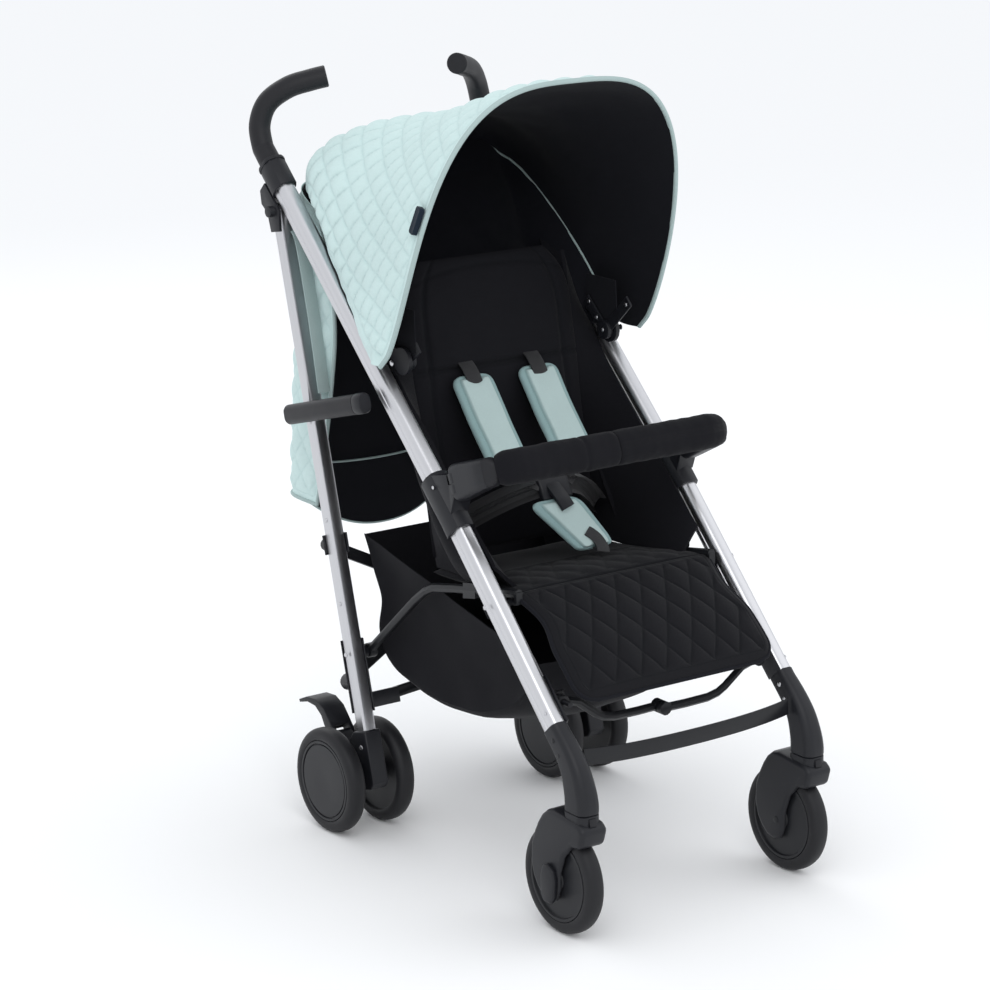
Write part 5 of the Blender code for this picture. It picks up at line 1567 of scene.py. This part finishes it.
        self.binding("rear_flap_piping", rim, 0.0028, "pushchair")
        pocket = []
        for i in range(61):
            x = 0.140 * (i / 30 - 1)
            z = 0.480 - 0.012 * (1 - (x / 0.14) ** 2)
            pocket.append(place(x, (self.at_height(back, z) - 0.009 - 0.012 * abs(x / 0.14) ** 6, z)))
        self.binding("rear_flap_pocket_edge", pocket, 0.0016, "pushchair")

    @staticmethod
    def plan_at(angle: float, power: float = 0.38) -> Vector:
        """The tail seen from above: its shares across and backwards, flat behind with wrapped sides."""
        return Vector((math.copysign(abs(math.sin(angle)) ** power, angle), abs(math.cos(angle)) ** power))

    @staticmethod
    def at_height(path: Sequence[Vector], height: float) -> float:
        """The y of a falling path of points at a height."""
        for above, below in zip(path, path[1:]):
            if below.z <= height:
                share = (above.z - height) / (above.z - below.z)
                return above.y + (below.y - above.y) * max(0.0, share)
        return path[-1].y


@dataclass
class Seat:
    """Cushion, side wings, backrest, calf rest and harness."""

    paint: Paint
    half: float = 0.140

    def build(self) -> None:
        """Builds the seat's soft pieces."""
        self.cushion()
        self.wings()
        self.backrest()
        self.calf_rest()
        self.harness()

    def soft(self, obj: Piece, body: str, slot: str, fill: float, *nodes: str) -> None:
        """Fits a pad on its body."""
        fit_folding(obj, body, slot, SEAT_LEVEL, *nodes)

    def cushion(self) -> None:
        """The seat cushion, lying between the wings."""
        marks = spline([(0, 0.030, 0.394), (0, -0.060, 0.400), (0, -0.130, 0.409), (0, -0.192, 0.4155)], 12)

        def middle(u: float, v: float) -> tuple[Vector, Vector]:
            point, _ = part_way(marks, (v + 1) / 2)
            flare = 1 / (1 + math.exp(-(v - 0.35) / 0.16))
            spot = place(u * (self.half + 0.026 * flare), (point.y, point.z))
            return spot, Vector((0, -0.09, 1)).normalized()

        pad = pillow("seat_cushion", middle, (110, 80), 0.016, 0.012, self.paint.quilted,
                     Quilting(PAD_DIAMOND, 0.0030, 0.120, 0.014, 0.004), wrinkle=0.0022, seed=2.0)
        self.soft(pad, "pushchair", "black_cloth", 0.8, "seat_pad")

    def wings(self) -> None:
        """The cloth sides, from the cushion and backrest out to the tubes."""
        hem = spline([(0, -0.150, 0.404), (0, -0.105, 0.398), (0, -0.050, 0.405), (0, 0.000, 0.462),
                      (0, 0.045, 0.540), (0, 0.100, 0.630), (0, 0.140, 0.730), (0, 0.165, 0.810)], 9)
        for side in Side:
            sign = side.value
            rows = []
            for step in range(61):
                t = step / 60
                tube = place(0, tube_point(-0.075 + 0.370 * t, -0.006))
                inner, _ = part_way(hem, t)
                inner = place(0, (inner.y, inner.z))
                row = []
                for i in range(31):
                    w = i / 30
                    dip = 0.0045 * math.sin(math.pi * min(1.0, w / 0.8))
                    x = 0.1765 - dip - 0.034 * max(0.0, (w - 0.55) / 0.45) ** 2
                    row.append(tube.lerp(inner, w) + ACROSS * (sign * x))
                rows.append(row)
            wing = cloth_grid(f"{side.word}_seat_wing", rows, self.paint.black, 0.0030, outward=sign,
                              wrinkle=0.0026)
            fit_sheet(wing, "pushchair", "black_cloth", SEAT_LEVEL)
            self.inner_side(side)

    def inner_side(self, side: Side) -> None:
        """The padded inner side of the seat, from the cushion up to the tube."""
        sign = side.value
        rows = []
        for step in range(49):
            t = step / 48
            tube = place(0, tube_point(-0.090 + 0.385 * t, 0.004))
            if t < 0.42:
                share = t / 0.42
                inner = place(0, (-0.170 + 0.196 * share, 0.410 - 0.008 * share))
            else:
                share = (t - 0.42) / 0.58
                inner = place(0, (0.026 + 0.086 * share, 0.402 + 0.400 * share))
            row = []
            for i in range(25):
                w = i / 24
                x = 0.1395 + 0.0365 * w ** 1.6 + 0.004 * math.sin(math.pi * w)
                row.append(inner.lerp(tube, w) + ACROSS * (sign * x))
            rows.append(row)
        panel = cloth_grid(f"{side.word}_seat_side", rows, self.paint.black, 0.0050, outward=-sign,
                           wrinkle=0.0024)
        fit_sheet(panel, "pushchair", "black_cloth", SEAT_LEVEL)

    def backrest(self) -> None:
        """The padded back with a round top and sewn channels."""
        low, high = Vector((0, 0.0255, 0.416)), Vector((0, 0.1105, 0.8130))
        normal = Vector((0, -0.977, 0.213))

        def middle(u: float, v: float) -> tuple[Vector, Vector]:
            t = (v + 1) / 2
            point = low.lerp(high, t)
            top = max(0.0, (t - 0.80) / 0.20)
            half = (self.half + 0.003) * (1 - 0.26 * top ** 2.6)
            return place(u * half, (point.y, point.z)), normal

        def dents(u: float, v: float) -> float:
            rail = 0.0035 * math.exp(-((abs(u) - 0.80) / 0.030) ** 2)
            crease = 0.0045 * math.exp(-((v - 0.25) / 0.018) ** 2)
            arch = abs(u) ** 3 * 0.10 + v - 0.93
            return rail + crease + 0.0025 * math.exp(-(arch / 0.016) ** 2)

        pad = pillow("backrest_pad", middle, (110, 150), 0.0125, 0.0105, self.paint.black,
                     wrinkle=0.0034, seed=7.0, dents=dents)
        self.soft(pad, "backrest", "black_cloth", 0.7, "backrest")

    def calf_rest(self) -> None:
        """The quilted flap under the child's calves, with its bound edge."""
        start, end = Vector((0, -0.1895, 0.4200)), Vector((0, -0.3375, 0.3060))
        normal = Vector((0, -0.610, 0.792))

        def half(t: float) -> float:
            corner = max(0.0, (t - 0.84) / 0.16)
            waist = 0.163 - 0.010 * math.sin(math.pi * min(1.0, t / 0.62)) ** 2 + 0.004 * t
            return waist * (1 - 0.17 * (1 - math.sqrt(max(0.0, 1 - corner ** 2))))

        def middle(u: float, v: float) -> tuple[Vector, Vector]:
            t = (v + 1) / 2
            point = start.lerp(end, t)
            sag = 0.010 * math.sin(math.pi * t) ** 0.8 + 0.003 * t
            return place(u * half(t), (point.y, point.z)) + normal * sag, normal

        pad = pillow("calf_rest_quilted", middle, (170, 110), 0.0110, 0.0065, self.paint.quilted,
                     Quilting(PAD_DIAMOND, 0.0040, 0.006, 0.011, 0.011), power=7.0, wrinkle=0.0010, seed=4.0)
        self.soft(pad, "calf_rest", "black_cloth", 0.8, "calf_rest")
        rim = [middle(-1, -1 + 2 * i / 40)[0] for i in range(41)]
        rim += [middle(-1 + 2 * i / 40, 1)[0] for i in range(1, 40)]
        rim += [middle(1, 1 - 2 * i / 40)[0] for i in range(41)]
        cord = piping("calf_rest_piping", rim, 0.0030, self.paint.lining)
        fit_folding(cord, "calf_rest", "black_cloth", SEAT_LEVEL)

    def harness(self) -> None:
        """Shoulder pads, crotch pad, buckle and webbing."""
        for side in Side:
            self.shoulder_pad(side)
        self.crotch_pad()

    def pad_on_path(self, name: str, marks: list[Vector], x: float, half: float, thick: float, ends: float,
                    taper: Callable[[float], float] = lambda t: 1.0) -> Piece:
        """A narrow pad along a side-view path, its ends rounded."""

        def middle(u: float, v: float) -> tuple[Vector, Vector]:
            t = (v + 1) / 2
            dip = 0.09 * max(0.0, 1 - (u / 0.46) ** 2) * max(0.0, 1 - t / 0.5) ** 2
            point, tangent = part_way(marks, t + dip)
            normal = ACROSS.cross(tangent)
            if normal.y > 0:
                normal = -normal
            from_end = min(t, 1 - t) / ends
            round_off = math.sqrt(max(0.0, 1 - max(0.0, 1 - from_end) ** 2.2)) * 0.62 + 0.38
            return place(x + point.x + u * half * taper(t) * round_off, (point.y, point.z)), normal

        def channel(u: float, v: float) -> float:
            edge = max(abs(u) - 0.74, abs(v) - 0.86)
            return 0.0042 * math.exp(-(edge / 0.045) ** 2) + 0.0040 * max(0.0, min(1.0, edge / 0.08))

        return pillow(name, middle, (48, 90), thick * 0.62, thick * 0.38, self.paint.mint_pad, power=8.0,
                      wrinkle=0.0018, seed=x * 40, dents=channel)

    def shoulder_pad(self, side: Side) -> None:
        """One mint shoulder pad, with its webbing coming out over each end."""
        word, x = side.word, side.value * 0.056
        marks = spline([(0, 0.0600, 0.656), (0, 0.0400, 0.632), (0, 0.010, 0.595), (0, -0.022, 0.560),
                        (0, -0.038, 0.534)], 10)
        pad = self.pad_on_path(f"{word}_shoulder_pad_skin", marks, x, 0.0335, 0.017, 0.16)
        self.soft(pad, "backrest", "mint_cloth", 0.8, f"{word}_shoulder_pad")
        top = [place(x - 0.002, spot) for spot in (
            (0.0690, 0.674), (0.0600, 0.668), (0.0480, 0.656), (0.0400, 0.643), (0.0405, 0.6375),
        )]
        low = [place(x * share, spot) for share, spot in (
            (0.90, (-0.030, 0.545)), (0.66, (-0.046, 0.528)), (0.38, (-0.056, 0.520)),
        )]
        hip = [place(x * share, spot) for share, spot in (
            (2.30, (0.012, 0.455)), (1.7, (-0.014, 0.482)), (1.05, (-0.040, 0.505)), (0.48, (-0.055, 0.517)),
        )]
        web = strap(f"{word}_shoulder_web_top", spline(top, 4), 0.025, 0.0018, self.paint.web)
        self.webbing(web, "backrest")
        web = strap(f"{word}_shoulder_web_low", spline(low, 4), 0.025, 0.0016, self.paint.web)
        self.webbing(web, "pushchair")
        web = strap(f"{word}_hip_web", spline(hip, 5), 0.0016, 0.025, self.paint.web,
                    across=Vector((0, -1, 0)))
        self.webbing(web, "pushchair")

    def webbing(self, obj: Piece, body: str) -> None:
        """Fits a run of webbing on its body."""
        fit_folding(obj, body, "black_cloth", SEAT_LEVEL)

    def crotch_pad(self) -> None:
        """The crotch pad, the buckle over it and the strap through its lower end."""
        marks = spline([(0.030, -0.116, 0.4340), (0.024, -0.108, 0.4460), (0.008, -0.088, 0.4720),
                        (-0.010, -0.068, 0.4990)], 9)
        pad = self.pad_on_path("crotch_pad_skin", marks, 0.0, 0.0440, 0.016, 0.20, lambda t: 0.66 + 0.34 * t)
        self.soft(pad, "pushchair", "mint_cloth", 0.8, "crotch_pad")
        fit(refined("harness_buckle", self.paint.plastic, 0.0014, 3), "pushchair", "plastic")
        loop = [place(x, p) for x, p in ((0.0300, (-0.134, 0.4330)), (0.0320, (-0.128, 0.4400)),
                                        (0.0300, (-0.117, 0.4500)), (0.0210, (-0.108, 0.4590)))]
        self.webbing(strap("crotch_web", spline(loop, 5), 0.020, 0.0020, self.paint.web), "pushchair")
        clip = [place(x, p) for x, p in ((-0.004, (-0.058, 0.5190)), (-0.002, (-0.078, 0.5050)),
                                        (0.003, (-0.089, 0.4900)))]
        tongue = strap("buckle_tongue", spline(clip, 5), 0.024, 0.0065, self.paint.plastic)
        fit_folding(tongue, "pushchair", "plastic", SEAT_LEVEL)


@dataclass
class Basket:
    """The cloth bag under the seat."""

    paint: Paint

    def build(self) -> None:
        """Lofts the bag from its rim down round its belly."""
        belly = spline([(0, 0.186, 0.415), (0, 0.164, 0.358), (0, 0.144, 0.300), (0, 0.152, 0.250),
                        (0, 0.130, 0.212), (0, 0.060, 0.190), (0, -0.030, 0.186), (0, -0.110, 0.200),
                        (0, -0.185, 0.240), (0, -0.222, 0.325)], 9)
        back, front = Vector((0, 0.186, 0.415)), Vector((0, -0.222, 0.330))
        rows = []
        count = len(belly)
        for r, low in enumerate(belly):
            t = r / (count - 1)
            rim = back.lerp(front, t)
            row = []
            for i in range(73):
                w = i / 72
                row.append(self.girth(w, rim, low, t))
            rows.append(row)
        bag = cloth_grid("basket_bag", rows, self.paint.mesh_bag, 0.0014, outward=-1.0, wrinkle=0.0022)
        tidy_mesh(bag, MERGE_DISTANCE)
        soften(bag, 60)
        fit_sheet(bag, "pushchair", "black_cloth", BASKET_LEVEL, nodes=["basket"],
                  keep=BASKET_KEEP)

    def girth(self, w: float, rim: Vector, low: Vector, t: float) -> Vector:
        """A point round the bag: down one side, across the belly, up the other."""
        half, side_share = 0.1500, 0.34
        drop = rim.z - low.z
        hang = 0.030 * min(1.0, drop / 0.10)
        if w < side_share or w > 1 - side_share:
            share = w / side_share if w < side_share else (1 - w) / side_share
            sign = 1 if w < side_share else -1
            point = rim.lerp(Vector((0, low.y, low.z + hang)), share)
            tuck = 0.010 * math.sin(math.pi * share) * min(1.0, drop / 0.15)
            return place(sign * (half - tuck), (point.y, point.z))
        share = (w - side_share) / (1 - 2 * side_share)
        dip = math.sin(math.pi * share) ** 0.7
        return place(half * (1 - 2 * share), (low.y, low.z + hang * (1 - dip)))


@dataclass
class Straps:
    """The recline straps beside the legs and the foot strap between the front feet."""

    paint: Paint

    def build(self) -> None:
        """Builds the straps."""
        for side in Side:
            x = side.value * 0.181
            marks = [leg_point(0.0315, -0.0125), leg_point(0.055, -0.0200), leg_point(0.150, -0.0205),
                     leg_point(0.262, -0.0150)]
            path = spline([place(x, mark) for mark in marks], 8)
            band = strap(f"{side.word}_recline_strap_cloth", path, 0.020, 0.0016, self.paint.mint_trim)
            fit_folding(band, "pushchair", "mint_cloth", SEAT_LEVEL, f"{side.word}_recline_strap")
        path = []
        for step in range(33):
            share = -1 + 2 * step / 32
            sag = 1 - abs(share) ** 4
            path.append(place(share * 0.1745, (-0.357 - 0.012 * (1 - share * share), 0.242 - 0.004 * sag)))
        band = strap("foot_strap_web", path, 0.023, 0.0026, self.paint.gloss_strap, across=Vector((0, 0, 1)))
        fit_folding(band, "pushchair", "rubber", FOOT_LEVEL, "foot_strap")


@dataclass
class Studio:
    """Pale floor, soft light and the photograph's camera."""

    camera_at: tuple[float, float, float] = (-2.659, -3.573 + SHIFT, 1.688)
    look_at: tuple[float, float, float] = (0.0, 0.0775 + SHIFT, 0.472)
    lens: float = 120.545

    def build(self) -> None:
        """Builds the camera, the floor and the lights."""
        self.camera()
        self.floor()
        self.world()
        self.lamp("key light", (-1.6, -2.6, 3.4), 2.4, 34)
        self.lamp("fill light", (2.8, -1.6, 2.2), 2.6, 10)
        self.lamp("rim light", (0.5, 3.0, 2.6), 2.2, 16)

    def camera(self) -> None:
        """The camera at the photograph's place."""
        data = bpy.data.cameras.new("camera")
        data.sensor_fit = "HORIZONTAL"
        data.sensor_width = 36
        data.lens = self.lens
        data.clip_end = 60
        camera = linked("camera", data)
        spot = Vector(self.camera_at)
        camera.location = spot
        camera.rotation_euler = (Vector(self.look_at) - spot).to_track_quat("-Z", "Y").to_euler()
        bpy.context.scene.camera = camera

    def floor(self) -> None:
        """A pale floor that keeps the shadow."""
        select_none()
        bpy.ops.mesh.primitive_plane_add(size=30, location=(0, 0, 0))
        floor = bpy.context.object
        floor.name = "studio_floor"
        graph = Graph("studio floor")
        graph.set(Base_Color=(0.96, 0.96, 0.96, 1), Roughness=0.9, Specular_IOR_Level=0.0)
        floor.data.materials.append(graph.material)

    def world(self) -> None:
        """An even white surround; the camera and reflections see it white."""
        world = bpy.data.worlds.new("studio surround")
        world.use_nodes = True
        bpy.context.scene.world = world
        tree = world.node_tree
        tree.nodes.clear()
        output = tree.nodes.new("ShaderNodeOutputWorld")
        seen = tree.nodes.new("ShaderNodeBackground")
        seen.inputs["Color"].default_value = (1, 1, 1, 1)
        lit = tree.nodes.new("ShaderNodeBackground")
        lit.inputs["Color"].default_value = (0.95, 0.97, 1.0, 1)
        lit.inputs["Strength"].default_value = 1.0
        path = tree.nodes.new("ShaderNodeLightPath")
        mix = tree.nodes.new("ShaderNodeMixShader")
        tree.links.new(path.outputs["Is Camera Ray"], mix.inputs[0])
        tree.links.new(lit.outputs[0], mix.inputs[1])
        tree.links.new(seen.outputs[0], mix.inputs[2])
        tree.links.new(mix.outputs[0], output.inputs[0])

    def lamp(self, name: str, at: tuple[float, float, float], size: float, power: float) -> None:
        """A soft square lamp aimed at the pushchair."""
        data = bpy.data.lights.new(name, "AREA")
        data.size = size
        data.energy = power
        lamp = linked(name, data)
        lamp.location = at
        lamp.rotation_euler = (Vector((0, 0, 0.5)) - Vector(at)).to_track_quat("-Z", "Y").to_euler()


def main() -> None:
    """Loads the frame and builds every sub-assembly."""
    logging.basicConfig(level=logging.INFO, format="%(message)s")

    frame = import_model()
    NODES.update(frame["nodes"])
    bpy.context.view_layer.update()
    bpy.context.scene.view_settings.view_transform = "Standard"
    paint = Paint()
    Studio().build()
    for side in Side:
        SideFrame(side, paint).build()
        RearLeg(side, paint).build()
        Bumper(side, paint).build()
    Hood(paint).build()
    Seat(paint).build()
    Basket(paint).build()
    Straps(paint).build()
    select_none()


if __name__ == "__main__":
    main()
